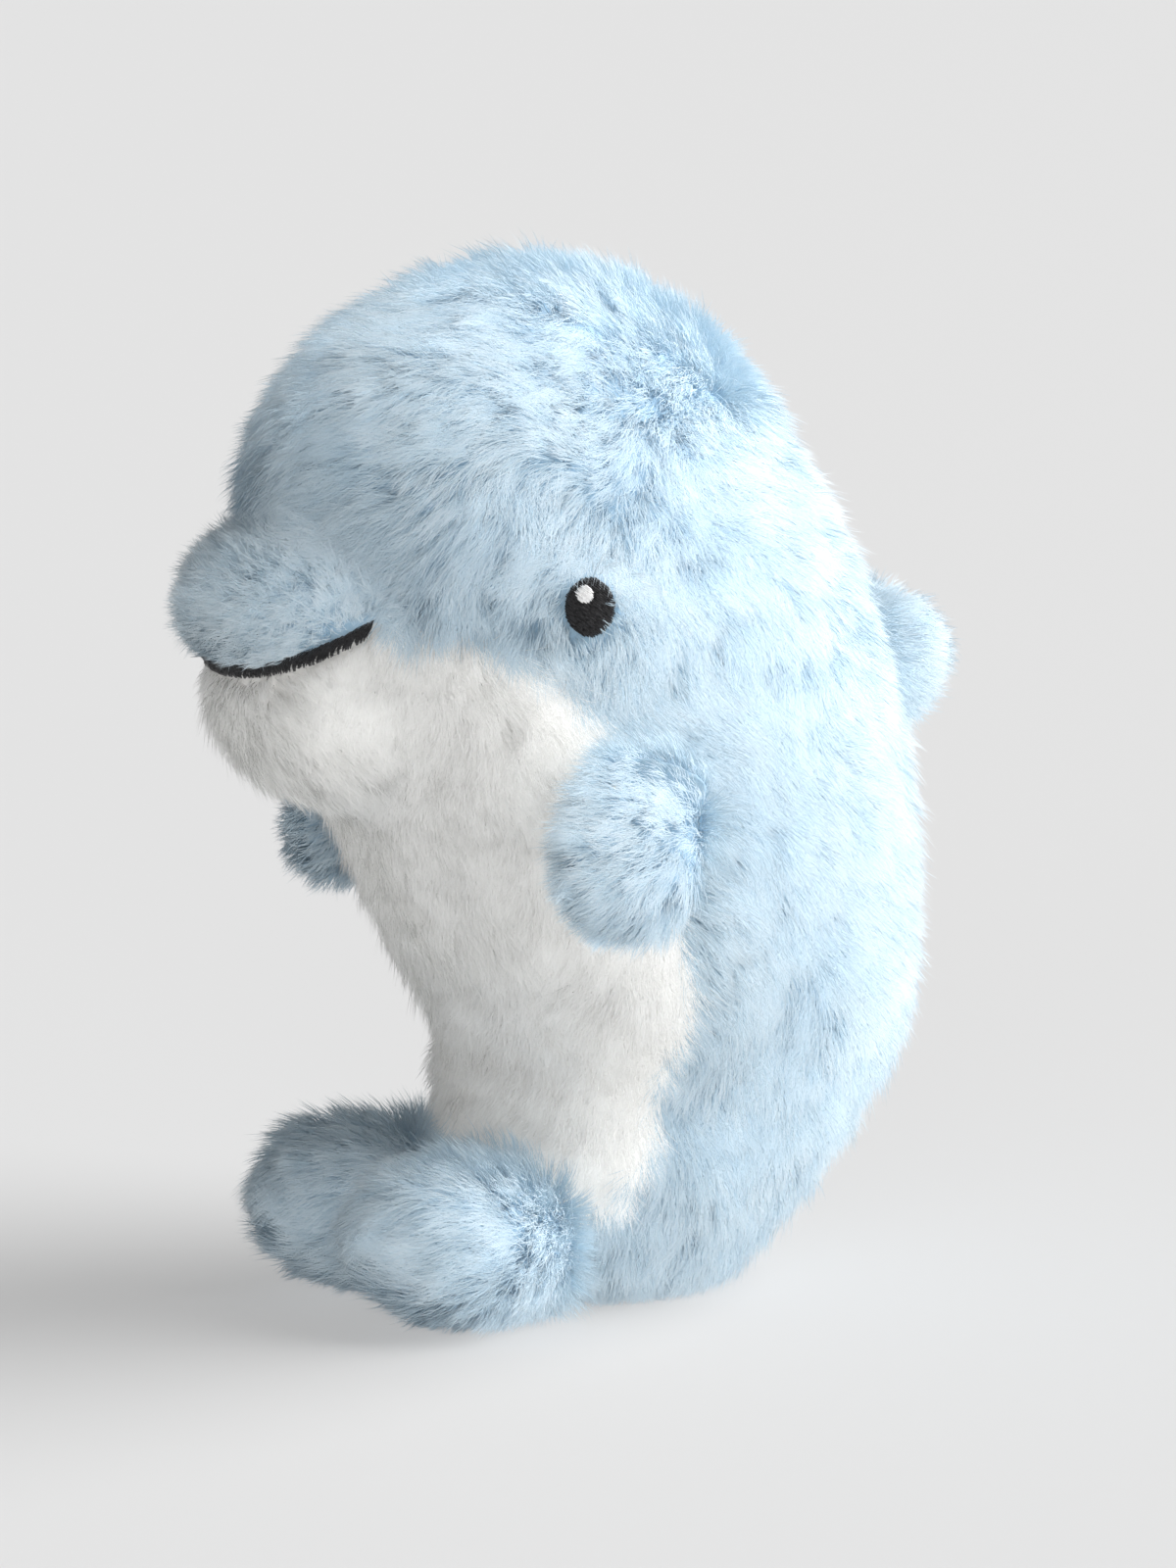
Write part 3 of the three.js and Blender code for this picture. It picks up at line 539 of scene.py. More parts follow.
def grow(roots, normals, nap, length, lean, clump, tone, rng):
    """Strands in bundles that lean together in tufts, and the bundle of each strand."""
    count = len(roots)
    centres = rng.choice(count, max(count // TUFT, 1), replace=False)
    own = nearest_tuft(roots, centres, rng)
    tufts = len(centres)
    swing = rng.normal(scale=TUFT_TURN, size=tufts)
    rise = rng.normal(scale=TUFT_LEAN, size=tufts)
    reach = rng.uniform(*TUFT_REACH, tufts)
    shade = rng.normal(size=tufts)
    lead = curve(
        roots[centres],
        normals[centres],
        turned(nap[centres], normals[centres], swing),
        length[centres] * reach,
        lean[centres] + rise[:, None],
        np.zeros(tufts),
    )
    nap = turned(nap, normals, TUFT_HOLD * swing[own] + rng.normal(scale=BUNDLE_TURN, size=count))
    lean = lean + (rise[own] + rng.normal(scale=BUNDLE_LEAN, size=count))[:, None]
    length = length * reach[own] * rng.uniform(*BUNDLE_REACH, count)
    bundles = curve(roots, normals, nap, length, lean, rng.normal(scale=BUNDLE_BEND, size=count))
    pull = clump * rng.uniform(*TUFT_PULL, count)
    bundles += (lead[own] - bundles) * pull[:, None, None] * TUFT_SHAPE[:, None]
    tone = tone + TUFT_TONE * shade[own] + rng.normal(scale=BUNDLE_TONE, size=count)

    bundle = np.repeat(np.arange(count), BUNDLE)
    total = len(bundle)
    up = normals[bundle]
    offset = rng.normal(scale=BUNDLE_SIZE, size=(total, 3))
    offset -= up * dot(offset, up)[:, None]
    hair = curve(
        roots[bundle] + offset,
        up,
        turned(nap[bundle], up, rng.normal(scale=STRAND_TURN, size=total)),
        length[bundle] * rng.uniform(*STRAND_REACH, total),
        lean[bundle] + rng.normal(scale=STRAND_LEAN, size=total)[:, None],
        rng.normal(scale=STRAND_BEND, size=total),
    )
    aim = bundles[bundle] + BUNDLE_LOOSE * offset[:, None, :]
    gather = rng.uniform(*BUNDLE_PULL, total)
    hair += (aim - hair) * gather[:, None, None] * BUNDLE_SHAPE[:, None]
    tone = tone[bundle] + rng.normal(scale=STRAND_TONE, size=total)
    return hair, np.clip(tone, LEAST_TONE, MOST_TONE), bundle


def pile_mesh(name, hair, normals, tone, rng):
    """Thin tapered ribbons along the curves, each with three spans."""
    count = len(hair)
    along = unit(np.gradient(hair, axis=1))
    facing = unit(normals + rng.normal(scale=TWIST, size=(count, 3)))
    side = unit(np.cross(along, facing[:, None, :]))
    inward = dot(np.cross(side[:, 2], along[:, 2]), normals) < 0
    side[inward] *= -1
    across = side[:, :3] * (STRAND_TAPER * STRAND_WIDTH / 2)[None, :, None]
    points = np.empty((count, STRAND_POINTS, 3))
    points[:, 0:6:2] = hair[:, :3] - across
    points[:, 1:6:2] = hair[:, :3] + across
    points[:, 6] = hair[:, 3]
    points[:, :, 2] = np.maximum(points[:, :, 2], PILE_CLEARANCE)
    first = np.arange(count)[:, None] * STRAND_POINTS
    corners = first + np.array([0, 1, 3, 2, 2, 3, 5, 4, 4, 5, 6])
    starts = np.arange(count)[:, None] * STRAND_CORNERS + np.array([0, 4, 8])
    mesh = bpy.data.meshes.new(name)
    mesh.vertices.add(count * STRAND_POINTS)
    mesh.vertices.foreach_set("co", (points * MM).astype(np.float32).ravel())
    mesh.loops.add(count * STRAND_CORNERS)
    mesh.loops.foreach_set("vertex_index", corners.astype(np.int32).ravel())
    mesh.polygons.add(count * STRAND_FACES)
    mesh.polygons.foreach_set("loop_start", starts.astype(np.int32).ravel())
    shade_smooth(mesh)
    mesh.update(calc_edges=True)
    layer = mesh.uv_layers.new(name="OFBake")
    place = np.array([0, 0, 1, 1, 1, 1, 2, 2, 2, 2, 3]) / 3
    edge = np.array([-1, 1, 1, -1, -1, 1, 1, -1, -1, 1, 0]) * TONE_WIDTH
    uv = np.empty((count, STRAND_CORNERS, 2), np.float32)
    uv[:, :, 0] = MAP_MARGIN + (1 - 2 * MAP_MARGIN) * place
    uv[:, :, 1] = tone[:, None] + edge
    layer.data.foreach_set("uv", uv.ravel())
    front = unit(np.cross(side, along))
    bulge = np.radians(ROUNDNESS) * np.array([-1, 1, -1, 1, -1, 1, 0])[:, None]
    rows = np.array([0, 0, 1, 1, 2, 2, 3])
    ridge = unit(PANEL_SHADE * normals[:, None, :] + STRAND_SHADE * front)
    shown = unit(ridge[:, rows] * np.cos(bulge) + side[:, rows] * np.sin(bulge))
    mesh.normals_split_custom_set_from_vertices(shown.reshape(-1, 3).tolist())
    return mesh


def pile_pieces(name, chosen, under, strands, mat, body_name, node, rng):
    """The long pile of some bundles, which lets light through, and the underpile, which casts shadows."""
    hair, tone, bundle, normals = strands
    for layer, picked in ((name, chosen & ~under), (name.replace("pile", "underpile"), chosen & under)):
        mine = picked[bundle]
        mesh = pile_mesh(layer, hair[mine], normals[bundle[mine]], tone[mine], rng)
        piece = new_piece(layer, mesh, mat, body_name, node)
        piece.visible_shadow = layer != name


# Panels, seams and embroidered places of the body

body = skin(BODY_PANELS + BODY_INNER + POUCH, BODY_VOXEL, BODY_ROUNDS)
spots, out = body.points, body.normals
gaps = {name: away(spots, name) for name in BODY_PANELS}
blue_gap = np.minimum(gaps["left_side_panel"], gaps["right_side_panel"])
beak_gap = gaps["upper_beak_panel"]
chin_gap, chest_gap, belly_gap = (gaps[name] for name in WHITE_PANELS)
white_gap = np.minimum(np.minimum(chin_gap, chest_gap), belly_gap)
white = smooth(-WHITE_EDGE, WHITE_EDGE, np.minimum(blue_gap, beak_gap) - white_gap)
beak = smooth(-BEAK_EDGE, BEAK_EDGE, np.minimum(blue_gap, white_gap) - beak_gap)
mouth_gap = away(spots, "mouth_stitch")


def crease(a, b, width):
    near = (np.minimum(a, b) < CREASE_NEAR) * (np.maximum(a, b) < CREASE_FAR)
    return np.exp(-(((a - b) / width) ** 2)) * near


belly_crease = crease(chest_gap, belly_gap, BELLY_CREASE_WIDTH)
beak_crease = crease(beak_gap, blue_gap, BEAK_CREASE_WIDTH)
middle = np.abs(spots[:, 0])
back, up = spots[:, 1], spots[:, 2]
top_seam = np.exp(-((middle / TOP_SEAM_WIDTH) ** 2)) * smooth(*TOP_SEAM_HEIGHT, up)
half = np.sign(spots[:, 0])
half[half == 0] = 1
eye_side = EYE_CENTRE * np.stack([half, np.ones_like(half), np.ones_like(half)], 1)
from_eye = spots - eye_side
from_eye -= out * dot(from_eye, out)[:, None]
eye_ring = np.hypot(np.hypot(from_eye[:, 0], from_eye[:, 1]) / EYE_HALF[0], from_eye[:, 2] / EYE_HALF[1])
eye_ring[middle < FACE_MIDDLE] = NO_EYE

full = BLUE_DEPTH + (WHITE_DEPTH - BLUE_DEPTH) * white + (BEAK_DEPTH - BLUE_DEPTH) * beak
trimmed = np.maximum(smooth(*MOUTH_TRIM, mouth_gap), smooth(*EYE_TRIM, eye_ring))
base_face = smooth(*BASE_TRIM, up)
depth = full + (TRIMMED_DEPTH - full) * np.maximum(trimmed, base_face)
depth += BELLY_CREASE_DEPTH * belly_crease + BEAK_CREASE_DEPTH * beak_crease + TOP_SEAM_DEPTH * top_seam
backing = body.inset(depth)

# Which way the pile of the body lies, drawn for the left half and mirrored

crown = smooth(*CROWN_HEIGHT, up)
nap = np.zeros_like(spots)
nap[:, 2] = -1
nap[:, 1] = (TAIL_SLANT + BACK_SLANT * smooth(*SLANT_HEIGHT, up)) * (1 - crown)
face = smooth(*FACE_HEIGHT, up) * smooth(*FACE_FRONT, back)
nap += face[:, None] * FACE_LIE
ahead = smooth(*PARTING, back)
off_seam = crown * (SEAM_LIE + (1 - SEAM_LIE) * smooth(*SEAM_STRIP, middle))
beside = 1 - np.abs(2 * ahead - 1)
nap += (off_seam * ahead)[:, None] * AHEAD_LIE
nap += (off_seam * (1 - ahead))[:, None] * BEHIND_LIE
nap += (off_seam * beside)[:, None] * ASIDE_LIE
nap = nap * (1 - white)[:, None] + white[:, None] * WHITE_LIE
outward = unit(spots - BEAK_ROOT)
outward[:, 0] *= half
nap = nap * (1 - beak)[:, None] + beak[:, None] * (outward + BEAK_LIE)
nap[:, 0] *= half
near_eye = np.exp(-np.maximum(eye_ring - 1, 0) / EYE_FADE)
nap += EYE_PUSH * near_eye[:, None] * unit(from_eye)
near_mouth = smooth(*MOUTH_FADE, mouth_gap)
nap += MOUTH_PUSH * near_mouth[:, None] * apart(spots, "mouth_stitch")
nap -= out * dot(nap, out)[:, None]
combed = np.clip(COMBING * np.linalg.norm(nap, axis=1), 0, 1)
nap = unit(nap)

# Pile of the body

combed *= 1 - BEAK_LOOSE * beak
low, high = (
    start + COMBED_LEAN[i] * combed + WHITE_LEAN[i] * white + BEAK_LEAN[i] * beak
    for i, start in enumerate((ROOT_LEAN, TIP_LEAN))
)
length = (depth + PILE_OVER + BEAK_OVER * beak) / standing(low, high)
clump = CLUMP + WHITE_CLUMP * white
density = STRANDS / BUNDLE * (1 + WHITE_DENSER * white + LOOSE_DENSER * (1 - combed))
loose = (STRAY * beak + STRAY * (1 - combed)) * (1 - near_mouth)
under_share = UNDER_SHARE * (1 - WHITE_UNDER * white) * (LOOSE_UNDER + (1 - LOOSE_UNDER) * combed)

rng = np.random.default_rng(BODY_SEED)
corners, weights = backing.scatter(density, rng)
root = at(backing.points, corners, weights)
inside = at(eye_ring, corners, weights) < 1.0
keep = ~inside | (rng.uniform(size=len(root)) < EYE_HAIRS)
keep &= at(mouth_gap, corners, weights) > MOUTH_CLEAR
corners, weights, root = corners[keep], weights[keep], root[keep]
normal = unit(at(out, corners, weights))
lie = at(nap, corners, weights)
lie = unit(lie - normal * dot(lie, normal)[:, None])
stray = at(loose, corners, weights) * rng.normal(size=len(root))
under = rng.uniform(size=len(root)) < at(under_share, corners, weights)
swirl = WIDE_SWIRL * waves(root, WIDE_SIZE, seed=1) + FINE_SWIRL * waves(root, FINE_SIZE, seed=2)
lie = turned(lie, normal, swirl + stray)
lean = np.stack([at(low, corners, weights), at(high, corners, weights)], 1)
lean += (LEAN_WAVE * waves(root, LEAN_SIZE, seed=3))[:, None]
# the lighter tone where the pile isn't combed is painted light
shade = at(LOOSE_PAINTED_LIGHT_TONE + COMBED_TONE * combed, corners, weights)
# the underpile's lower tone is painted shade under the long pile
shade = shade + TONE_WAVE * waves(root, TONE_SIZE, seed=4) + UNDERPILE_PAINTED_SHADE * under
reach = at(length, corners, weights) * np.where(under, UNDER_HEIGHT, 1)
hair, tone, bundle = grow(root, normal, lie, reach, lean, at(clump, corners, weights), shade, rng)

is_white = at(white, corners, weights) > 0.5
is_beak = (at(beak, corners, weights) > 0.5) & ~is_white
is_chin = at(np.minimum(chest_gap, belly_gap) - chin_gap, corners, weights) > 0
is_belly = at(np.minimum(chest_gap, chin_gap) - belly_gap, corners, weights) > 0
zone = root[:, 2]
regions = [("upper_beak_pile", "upper_beak_panel", is_beak)]
for side, mine in (("left", root[:, 0] > 0), ("right", root[:, 0] <= 0)):
    pale = is_white & mine
    regions.append((f"{side}_chin_pile", "chin_panel", pale & is_chin))
    regions.append((f"{side}_chest_pile", "chest_panel", pale & ~is_chin & ~is_belly))
    regions.append((f"{side}_belly_pile", "lower_belly_panel", pale & is_belly))
    blue = ~is_white & ~is_beak & mine
    for below, above, word in LEVELS:
        regions.append((f"{side}_{word}_pile", f"{side}_side_panel", blue & (zone >= below) & (zone < above)))
for name, node, chosen in regions:
    mat, slot = (WHITE_PILE, "white_plush") if node in WHITE_PANELS else (BLUE_PILE, "blue_plush")
    pile_pieces(name, chosen, under, (hair, tone, bundle, normal), mat, "body", node, rng)

owner = np.stack([gaps[name] for name in BODY_PANELS], 1)[body.triangles].sum(1).argmin(1)
for i, node in enumerate(BODY_PANELS):
    mat, slot = (WHITE_BACKING, "white_plush") if node in WHITE_PANELS else (BLUE_BACKING, "blue_plush")
    backing_piece(node, backing, owner == i, mat, "body")

# Limbs

body_tree = BVHTree.FromPolygons(body.points.tolist(), body.triangles.tolist())


def seat(points):
    """How near each point is to the body, from 0 to 1, and the way into the body there."""
    hits = [body_tree.find_nearest(point) for point in points]
    inward = -np.array([hit[1] for hit in hits])
    outside = dot(np.array([hit[0] for hit in hits]) - points, inward)
    return smooth(*SEAT_REACH, outside), inward


def dress_limb(number, limb, facts):
    """The pile and the backing of both panels of a limb."""
    panels = [f"{limb}_{word}" for word in facts["panels"]]
    form = skin(panels + [f"{limb}_stuffing"], LIMB_VOXEL, LIMB_ROUNDS)
    nearer = away(form.points, panels[0]) - away(form.points, panels[1])
    inset = facts["inset"] + (TRIMMED_DEPTH - facts["inset"]) * smooth(*BASE_TRIM, form.points[:, 2])
    hidden = np.zeros(len(form.points))
    if "tuck" in facts:
        seated, inward = seat(form.points)
        hidden = seated * np.clip(dot(form.normals, inward), 0, 1)
        inset *= 1 - hidden
    base = form.inset(inset)
    if "tuck" in facts:
        base.points += inward * (facts["tuck"] * seated)[:, None]
        base.measure()
    fan = form.points - np.array(facts["root"])
    fan -= form.normals * dot(fan, form.normals)[:, None]
    combed = smooth(*LIMB_COMBED, np.linalg.norm(fan, axis=1))
    fan = unit(fan)

    rng = np.random.default_rng(LIMB_SEED + number)
    corners, weights = base.scatter(LIMB_DENSER * STRANDS / BUNDLE * smooth(*LIMB_BARE, hidden), rng)
    root = at(base.points, corners, weights)
    normal = unit(at(form.normals, corners, weights))
    lie = at(fan, corners, weights)
    lie = unit(lie - normal * dot(lie, normal)[:, None])
    combed = at(combed, corners, weights)
    stray = LIMB_STRAY * (1 - combed) * rng.normal(size=len(root))
    lie = turned(lie, normal, LIMB_SWIRL * waves(root, LIMB_SWIRL_SIZE, SWIRL_SEED + number) + stray)
    lean = np.stack([LIMB_LEAN[i] + LIMB_COMBED_LEAN[i] * combed for i in (0, 1)], 1)
    reach = (at(inset, corners, weights) + PILE_OVER) / standing(lean[:, 0], lean[:, 1])
    lean += (LIMB_LEAN_WAVE * waves(root, LIMB_LEAN_SIZE, LEAN_SEED + number))[:, None]
    clump = np.full(len(root), CLUMP)
    under = rng.uniform(size=len(root)) < LIMB_UNDER * UNDER_SHARE
    reach *= np.where(under, UNDER_HEIGHT, 1)
    # the underpile's lower tone is painted shade under the long pile
    shade = LIMB_TONE + LIMB_TONE_WAVE * waves(root, LIMB_TONE_SIZE, TONE_SEED + number) + UNDERPILE_PAINTED_SHADE * under
    hair, tone, bundle = grow(root, normal, lie, reach, lean, clump, shade, rng)

    first = at(nearer, corners, weights) < 0
    for panel, chosen in zip(panels, (first, ~first)):
        name = panel.replace("panel", "pile")
        strands = (hair, tone, bundle, normal)
        pile_pieces(name, chosen, under, strands, BLUE_PILE, limb, panel, rng)
    mine = nearer[form.triangles].mean(1) < 0
    for panel, chosen in zip(panels, (mine, ~mine)):
        backing_piece(panel, base, chosen, BLUE_BACKING, limb)


for number, (limb, facts) in enumerate(LIMBS.items()):
    dress_limb(number, limb, facts)

# Stuffing, pouch and pellets


def fibre(node, body_name, voxel, inset, lump, seed):
    """A lumpy mass of fibre in the space of a CAD solid."""
    form = skin([node], voxel, FIBRE_ROUNDS)
    lumps = waves(form.points, WIDE_LUMP, seed) + FINE_SHARE * waves(form.points, FINE_LUMP, seed + 1)
    mesh = mesh_of(node, form.points + form.normals * (lump * lumps - inset)[:, None], form.triangles)
    name = node.replace("stuffing", "fibre")
    piece = new_piece(name, mesh, FIBRE, body_name, node)


def sewn_cloth(name, node, seed):
    """Thin calico in the shape of a CAD shell, with small puckers."""
    bm = bmesh.new()
    bm.from_mesh(nodes[node].data)
    bmesh.ops.subdivide_edges(bm, edges=bm.edges, cuts=2, use_grid_fill=True)
    for v in bm.verts:
        v.normal_update()
    points = np.array([v.co for v in bm.verts]) / MM
    shift = PUCKER_HEIGHT * waves(points, PUCKER_SIZE, seed)
    for v, move in zip(bm.verts, shift):
        v.co += v.normal * float(move) * MM
    mesh = bpy.data.meshes.new(name)
    bm.to_mesh(mesh)
    bm.free()
    shade_smooth(mesh)
    new_piece(name, mesh, CALICO, "body", node)


def clear_inside(tree, place, wall):
    """Whether a place lies in a solid, with that much room to its walls each way."""
    start = Vector(place)
    for way in np.vstack([np.eye(3), -np.eye(3)]):
        hit, normal, _, distance = tree.ray_cast(start, Vector(way))
        if not hit or normal.dot(hit - start) <= 0 or distance <= wall:
            return False
    return True


def beads(name, node, size, rng):
    """Rounded pellets packed in the space of a CAD solid."""
    tree = solid_tree(node)
    low, high = (np.array(corner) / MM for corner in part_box(node))
    places = []
    for k, up in enumerate(np.arange(low[2], high[2], LAYER_PITCH * size)):
        for j, back in enumerate(np.arange(low[1], high[1], ROW_PITCH * size)):
            shift = ROW_SHIFT * size * ((j + k) % 2)
            for x in np.arange(low[0] + shift, high[0], size):
                place = np.array([x, back, up]) + rng.uniform(-PELLET_SHAKE, PELLET_SHAKE, 3) * size
                if clear_inside(tree, place, PELLET_WALL * size):
                    places.append(place)
    bm = bmesh.new()
    bmesh.ops.create_icosphere(bm, subdivisions=1, radius=PELLET_RADIUS * size)
    ball = np.array([v.co for v in bm.verts])
    faces = np.array([[v.index for v in f.verts] for f in bm.faces])
    bm.free()
    stretch = rng.uniform(*PELLET_STRETCH, (len(places), 1, 3))
    points = (np.array(places)[:, None] + ball * stretch).reshape(-1, 3)
    triangles = (faces[None] + np.arange(len(places))[:, None, None] * len(ball)).reshape(-1, 3)
    new_piece(name, mesh_of(name, points, triangles), PELLETS, "body", node)


fibre("body_stuffing", "body", voxel=4.0, inset=2.6, lump=0.9, seed=FIBRE_SEED)
for number, limb in enumerate(LIMBS):
    seed = LIMB_FIBRE_SEED + 2 * number
    fibre(f"{limb}_stuffing", limb, voxel=1.0, inset=0.5, lump=0.15, seed=seed)
sewn_cloth("pouch_cup_cloth", "pellet_pouch_cup", POUCH_SEED)
sewn_cloth("pouch_cover_cloth", "pellet_pouch_cover", POUCH_SEED + 1)
beads("pellet_beads", "pellet_fill", PELLET_SIZE, np.random.default_rng(PELLET_SEED))

# Embroidery


def threads(lines, fronts, radius, sides=5):
    """Points and faces of short round threads along lines, thinner at their ends."""
    count, steps = lines.shape[:2]
    along = unit(np.gradient(lines, axis=1))
    side = unit(np.cross(along, fronts))
    up = np.cross(side, along)
    turn = np.arange(sides)[:, None] * 2 * math.pi / sides
    taper = [0, THREAD_TAPER, 1 - THREAD_TAPER, 1]
    thick = radius * np.interp(np.linspace(0, 1, steps), taper, [THREAD_END, 1, 1, THREAD_END])
    ring = side[:, :, None] * np.cos(turn) + up[:, :, None] * np.sin(turn)
    points = (lines[:, :, None] + ring * thick[:, None, None]).reshape(-1, 3)
    index = np.arange(count * steps * sides).reshape(count, steps, sides)
    a, b = index[:, :-1], index[:, 1:]
    quads = np.stack([a, b, np.roll(b, -1, 2), np.roll(a, -1, 2)], -1).reshape(-1, 4)
    ends = np.concatenate([index[:, 0], index[:, -1, ::-1]])
    return points, quads.tolist() + ends.tolist()


def embroidery(name, shapes, mat, node):
    points, faces = [], []
    for some, theirs in shapes:
        faces += [[i + len(points) for i in face] for face in theirs]
        points += some.tolist()
    mesh = bpy.data.meshes.new(name)
    mesh.from_pydata((np.array(points) * MM).tolist(), [], faces)
    shade_smooth(mesh)
    new_piece(name, mesh, mat, "body", node)


class Oval:
    """The dome of a thin oval CAD node, with its directions ahead, up and out."""

    def __init__(self, node):
        points = np.array([v.co for v in nodes[node].data.vertices]) / MM
        self.out = np.linalg.svd(points - points.mean(0), full_matrices=False)[2][2]
        self.out *= np.sign(self.out[0] * points[0, 0])
        self.up = unit(np.array([0, 0, 1.0]) - self.out * self.out[2])
        self.ahead = np.cross(self.up, self.out)
        self.ahead *= -np.sign(self.ahead[1])
        axes = np.array([self.ahead, self.up, self.out])
        places = points @ axes.T
        self.wide, self.tall, self.thick = np.ptp(places, axis=0) / 2
        self.centre = (places.min(0) + places.max(0)) / 2 @ axes

    def place(self, u, v, rise):
        dome = self.thick * np.sqrt(np.maximum(1 - (u / self.wide) ** 2 - (v / self.tall) ** 2, 0))
        flat = np.multiply.outer(u, self.ahead) + np.multiply.outer(v, self.up)
        return self.centre + flat + np.multiply.outer(dome + rise, self.out)


def satin(oval, middle, half, pitch, reach, radius, arch, level, rng):
    """Rows of slanted stitches that fill an ellipse on the dome."""
    lines = []
    for row in np.arange(-ROW_REACH * max(half), ROW_REACH * max(half), pitch):
        row += rng.uniform(-ROW_SHAKE, ROW_SHAKE) * pitch
        a = ((STITCH_WAY / half) ** 2).sum()
        b = 2 * row * (STITCH_WAY * STITCH_ASIDE / half**2).sum()
        c = row**2 * ((STITCH_ASIDE / half) ** 2).sum() - 1
        if b * b - 4 * a * c <= 0:
            continue
        root = math.sqrt(b * b - 4 * a * c)
        start = (-b - root) / (2 * a) - rng.uniform(*END_SHAKE)
        end = (-b + root) / (2 * a) + rng.uniform(*END_SHAKE)
        count = max(round((end - start) / reach), 1)
        cuts = np.linspace(start, end, count + 1)
        cuts[1:-1] += rng.uniform(-CUT_SHAKE, CUT_SHAKE, count - 1) * reach
        for one, two in zip(cuts[:-1], cuts[1:]):
            t = np.linspace(0, 1, STITCH_POINTS)
            s = one - STITCH_OVERLAP + (two - one + 2 * STITCH_OVERLAP) * t
            w = row + rng.uniform(-SIDE_SHAKE, SIDE_SHAKE) * pitch
            w = w + rng.normal(scale=STITCH_TILT) * (t - 0.5)
            u, v = (middle[i] + STITCH_WAY[i] * s + STITCH_ASIDE[i] * w for i in (0, 1))
            rise = level + arch * (np.sin(math.pi * t) - 0.5) + rng.uniform(-LEVEL_SHAKE, LEVEL_SHAKE)
            lines.append(oval.place(u, v, rise))
    lines = np.array(lines)
    return threads(lines, np.broadcast_to(oval.out, lines.shape), radius)


def cushion(oval, middle, half, level, sides=28):
    """The padded base under such stitches."""
    turn = np.arange(sides) * 2 * math.pi / sides
    across, along = half[0] * np.cos(turn), half[1] * np.sin(turn)
    rise = np.full(sides, level)
    rings = [oval.place(middle[0] + r * across, middle[1] + r * along, rise) for r in CUSHION_RINGS]
    rings.append(rings[-1] - CUSHION_DROP * oval.out)
    top = oval.place(middle[0], middle[1], level)
    points = np.concatenate(rings + [[top], [rings[-1].mean(0)]])
    last = len(rings) - 1
    faces = []
    for k in range(sides):
        j = (k + 1) % sides
        faces.append([len(points) - 2, k, j])
        faces.append([len(points) - 1, sides * last + j, sides * last + k])
        for r in range(last):
            low = sides * r
            faces.append([low + k, low + sides + k, low + sides + j, low + j])
    if dot(np.cross(points[0] - top, points[1] - top), oval.out) < 0:
        faces = [face[::-1] for face in faces]
    return points, faces


def mouth_stitches(node, rng):
    """Slanted satin stitches across the CAD band of the mouth, and short loose ends."""
    tree = solid_tree(node)
    low, high = (np.array(corner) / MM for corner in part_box(node))

    def front(bearing, level):
        way = Vector((math.sin(bearing), -math.cos(bearing), 0))
        return tree.ray_cast(way * FAR + Vector((0, 0, level)), -way)[0]

    bearings, edges = [], []
    for bearing in np.radians(np.arange(-MOUTH_REACH, MOUTH_REACH + 0.1, MOUTH_STEP)):
        hits = [level for level in np.arange(low[2], high[2], MOUTH_PROBE) if front(bearing, level)]
        if hits:
            bearings.append(bearing)
            edges.append((hits[0], hits[-1]))
    edges = np.array(edges)
    lines, fronts = [], []

    def lay(start, end, first, last, bulge):
        t = np.linspace(0, 1, STITCH_POINTS)
        bearing = np.clip(start + (end - start) * t, bearings[0], bearings[-1])
        share = np.clip(first + (last - first) * t, MOUTH_EDGE, 1 - MOUTH_EDGE)
        lower, upper = (np.interp(bearing, bearings, edges[:, i]) for i in (0, 1))
        hits = [front(b, x) for b, x in zip(bearing, lower + (upper - lower) * share)]
        if None in hits:
            return
        ways = np.stack([np.sin(bearing), -np.cos(bearing), 0 * bearing], 1)
        lines.append(np.array(hits) + ways * (bulge * np.sin(math.pi * t) - MOUTH_SINK)[:, None])
        fronts.append(ways)

    for bearing in np.arange(bearings[0], bearings[-1], MOUTH_PITCH):
        slant = MOUTH_SLANT + rng.normal(scale=MOUTH_SLANT_SPREAD)
        shift = rng.normal(scale=MOUTH_SHIFT)
        first, last = rng.uniform(*MOUTH_LOW), rng.uniform(*MOUTH_HIGH)
        lay(bearing + shift - slant, bearing + shift + slant, first, last, MOUTH_BULGE)
    stitches = threads(np.array(lines), np.array(fronts), MOUTH_RADIUS)
    lines.clear()
    fronts.clear()
    for bearing in rng.uniform(bearings[0], bearings[-1], ENDS):
        start = rng.uniform(*END_START)
        end_bearing = bearing + rng.normal(scale=END_TURN)
        lay(bearing, end_bearing, start, start + rng.uniform(*END_REACH), END_BULGE)
    return [stitches, threads(np.array(lines), np.array(fronts), END_RADIUS, END_SIDES)]


for number, side in enumerate(("left", "right")):
    rng = np.random.default_rng(EYE_SEED + number)
    oval = Oval(f"{side}_eye")
    half = np.array([oval.wide, oval.tall]) - EYE_MARGIN
    shapes = [
        satin(oval, (0, 0), half, pitch=0.44, reach=2.6, radius=0.27, arch=0.24, level=0, rng=rng),
        cushion(oval, (0, 0), half, level=-0.2),
    ]
    embroidery(f"{side}_eye_thread", shapes, BLACK_THREAD, f"{side}_eye")
    shine = Oval(f"{side}_eye_highlight")
    middle = [dot(shine.centre - oval.centre, axis) for axis in (oval.ahead, oval.up)]
    half = np.array([shine.wide, shine.tall]) - SHINE_MARGIN
    shapes = [
        satin(oval, middle, half, pitch=0.36, reach=5, radius=0.25, arch=0.2, level=0.32, rng=rng),
        cushion(oval, middle, half, level=0.15),
    ]
    embroidery(f"{side}_highlight_thread", shapes, WHITE_THREAD, f"{side}_eye_highlight")
shapes = mouth_stitches("mouth_stitch", np.random.default_rng(MOUTH_SEED))
embroidery("mouth_thread", shapes, BLACK_THREAD, "mouth_stitch")

# Camera

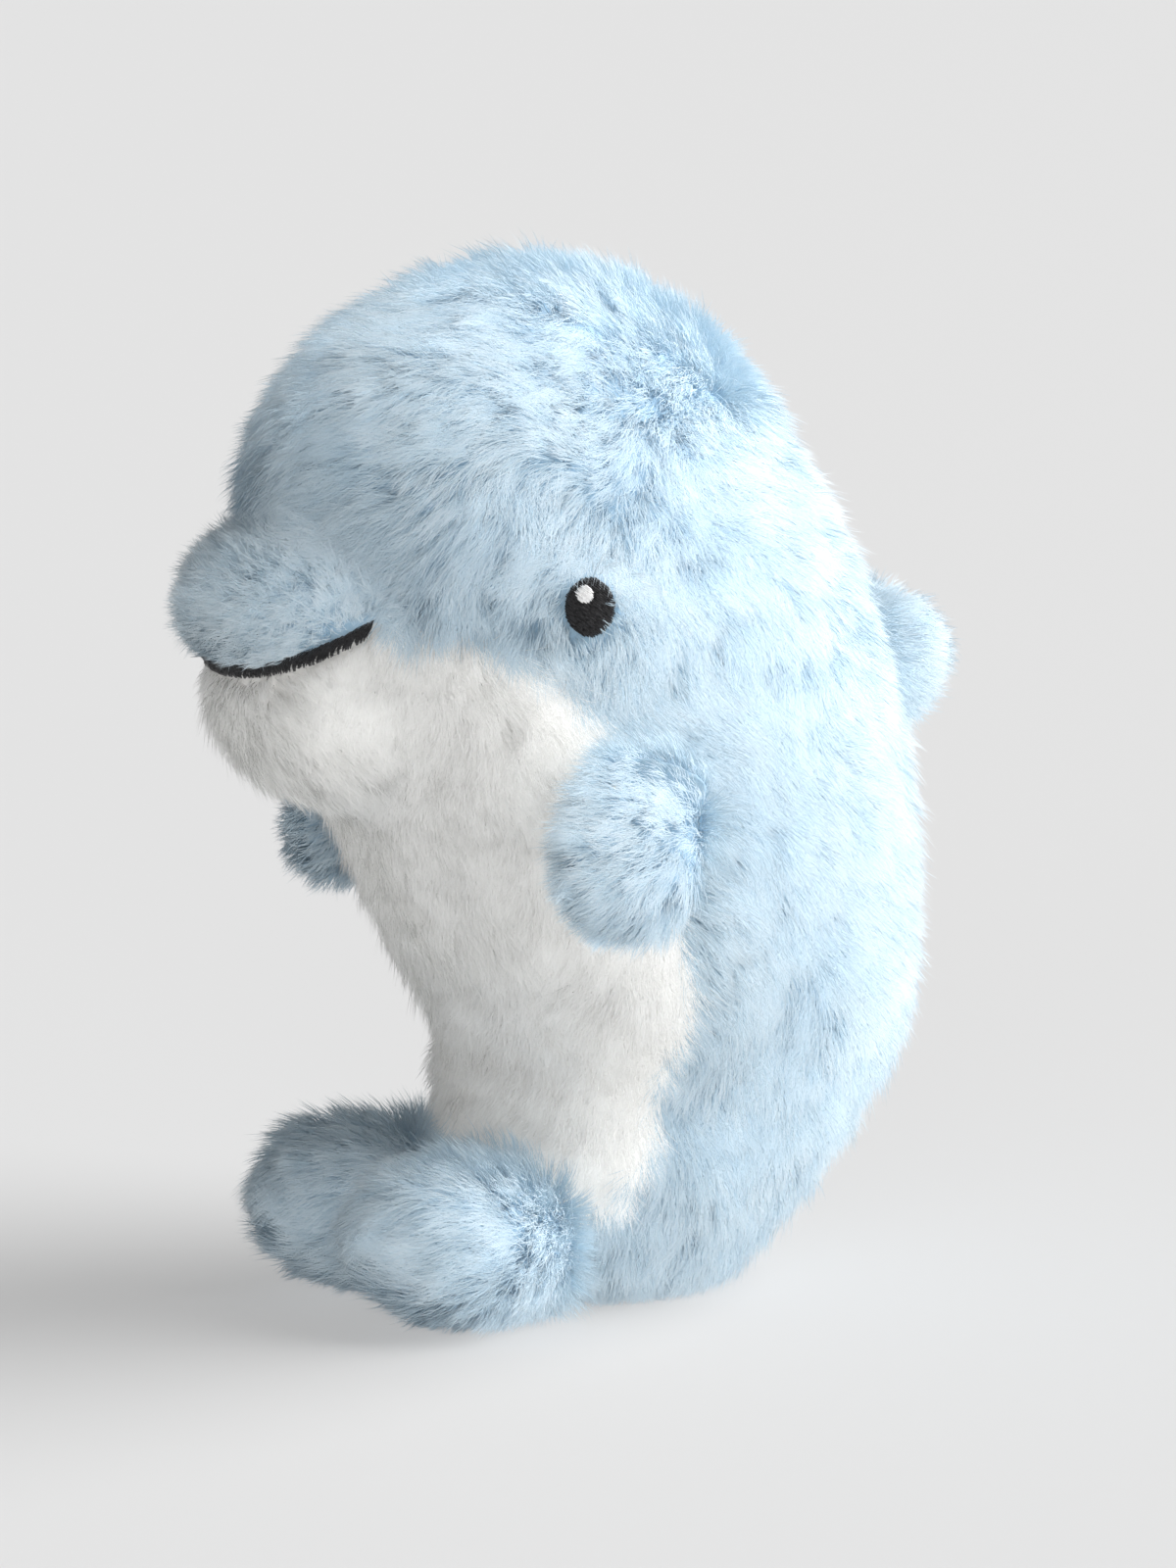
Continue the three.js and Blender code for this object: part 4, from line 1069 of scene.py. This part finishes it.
camera = bpy.data.cameras.new("camera")
camera.sensor_width = SENSOR
camera.lens = SENSOR * CAMERA_DISTANCE / PICTURE_HEIGHT
camera.clip_end = FARTHEST
view = bpy.data.objects.new("camera", camera)
bpy.context.scene.collection.objects.link(view)
behind = bearing_vector(CAMERA_BEARING, CAMERA_HEIGHT)
view.location = Vector((0, 0, TARGET_HEIGHT * MM)) + behind * (CAMERA_DISTANCE * MM)
view.rotation_mode = "QUATERNION"
view.rotation_quaternion = (-behind).to_track_quat("-Z", "Y")
bpy.context.scene.camera = view

# Floor

mesh = bpy.data.meshes.new("floor")
ends = ((-1, -1), (1, -1), (1, 1), (-1, 1))
mesh.from_pydata([(x * FLOOR_HALF, y * FLOOR_HALF, 0) for x, y in ends], [], [(0, 1, 2, 3)])
floor_mat, _, shader = material("floor", rough=0.9, specular=0.1)
shader.inputs["Base Color"].default_value = (0.27, 0.27, 0.27, 1)
shader.inputs["Emission Color"].default_value = (1, 1, 1, 1)
shader.inputs["Emission Strength"].default_value = 0.39
mesh.materials.append(floor_mat)
floor = bpy.data.objects.new("floor", mesh)
bpy.context.scene.collection.objects.link(floor)
floor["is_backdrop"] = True

# Light


def soft_light(name, bearing, height, energy, spread):
    """A wide soft light from a bearing and a height, in degrees."""
    sun = bpy.data.lights.new(name, "SUN")
    sun.energy = energy
    sun.angle = math.radians(spread)
    light = bpy.data.objects.new(name, sun)
    bpy.context.scene.collection.objects.link(light)
    light.rotation_mode = "QUATERNION"
    light.rotation_quaternion = (-bearing_vector(bearing, height)).to_track_quat("-Z", "Y")


soft_light("key", bearing=156, height=38, energy=6.3, spread=55)
soft_light("fill", bearing=50, height=6, energy=1.7, spread=50)
world = bpy.data.worlds.new("world")
world.use_nodes = True
world.node_tree.nodes["Background"].inputs["Color"].default_value = (0.08, 0.08, 0.08, 1)
bpy.context.scene.world = world
bpy.context.scene.view_settings.view_transform = "Standard"
bpy.context.scene.cycles.diffuse_bounces = 8

low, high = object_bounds()
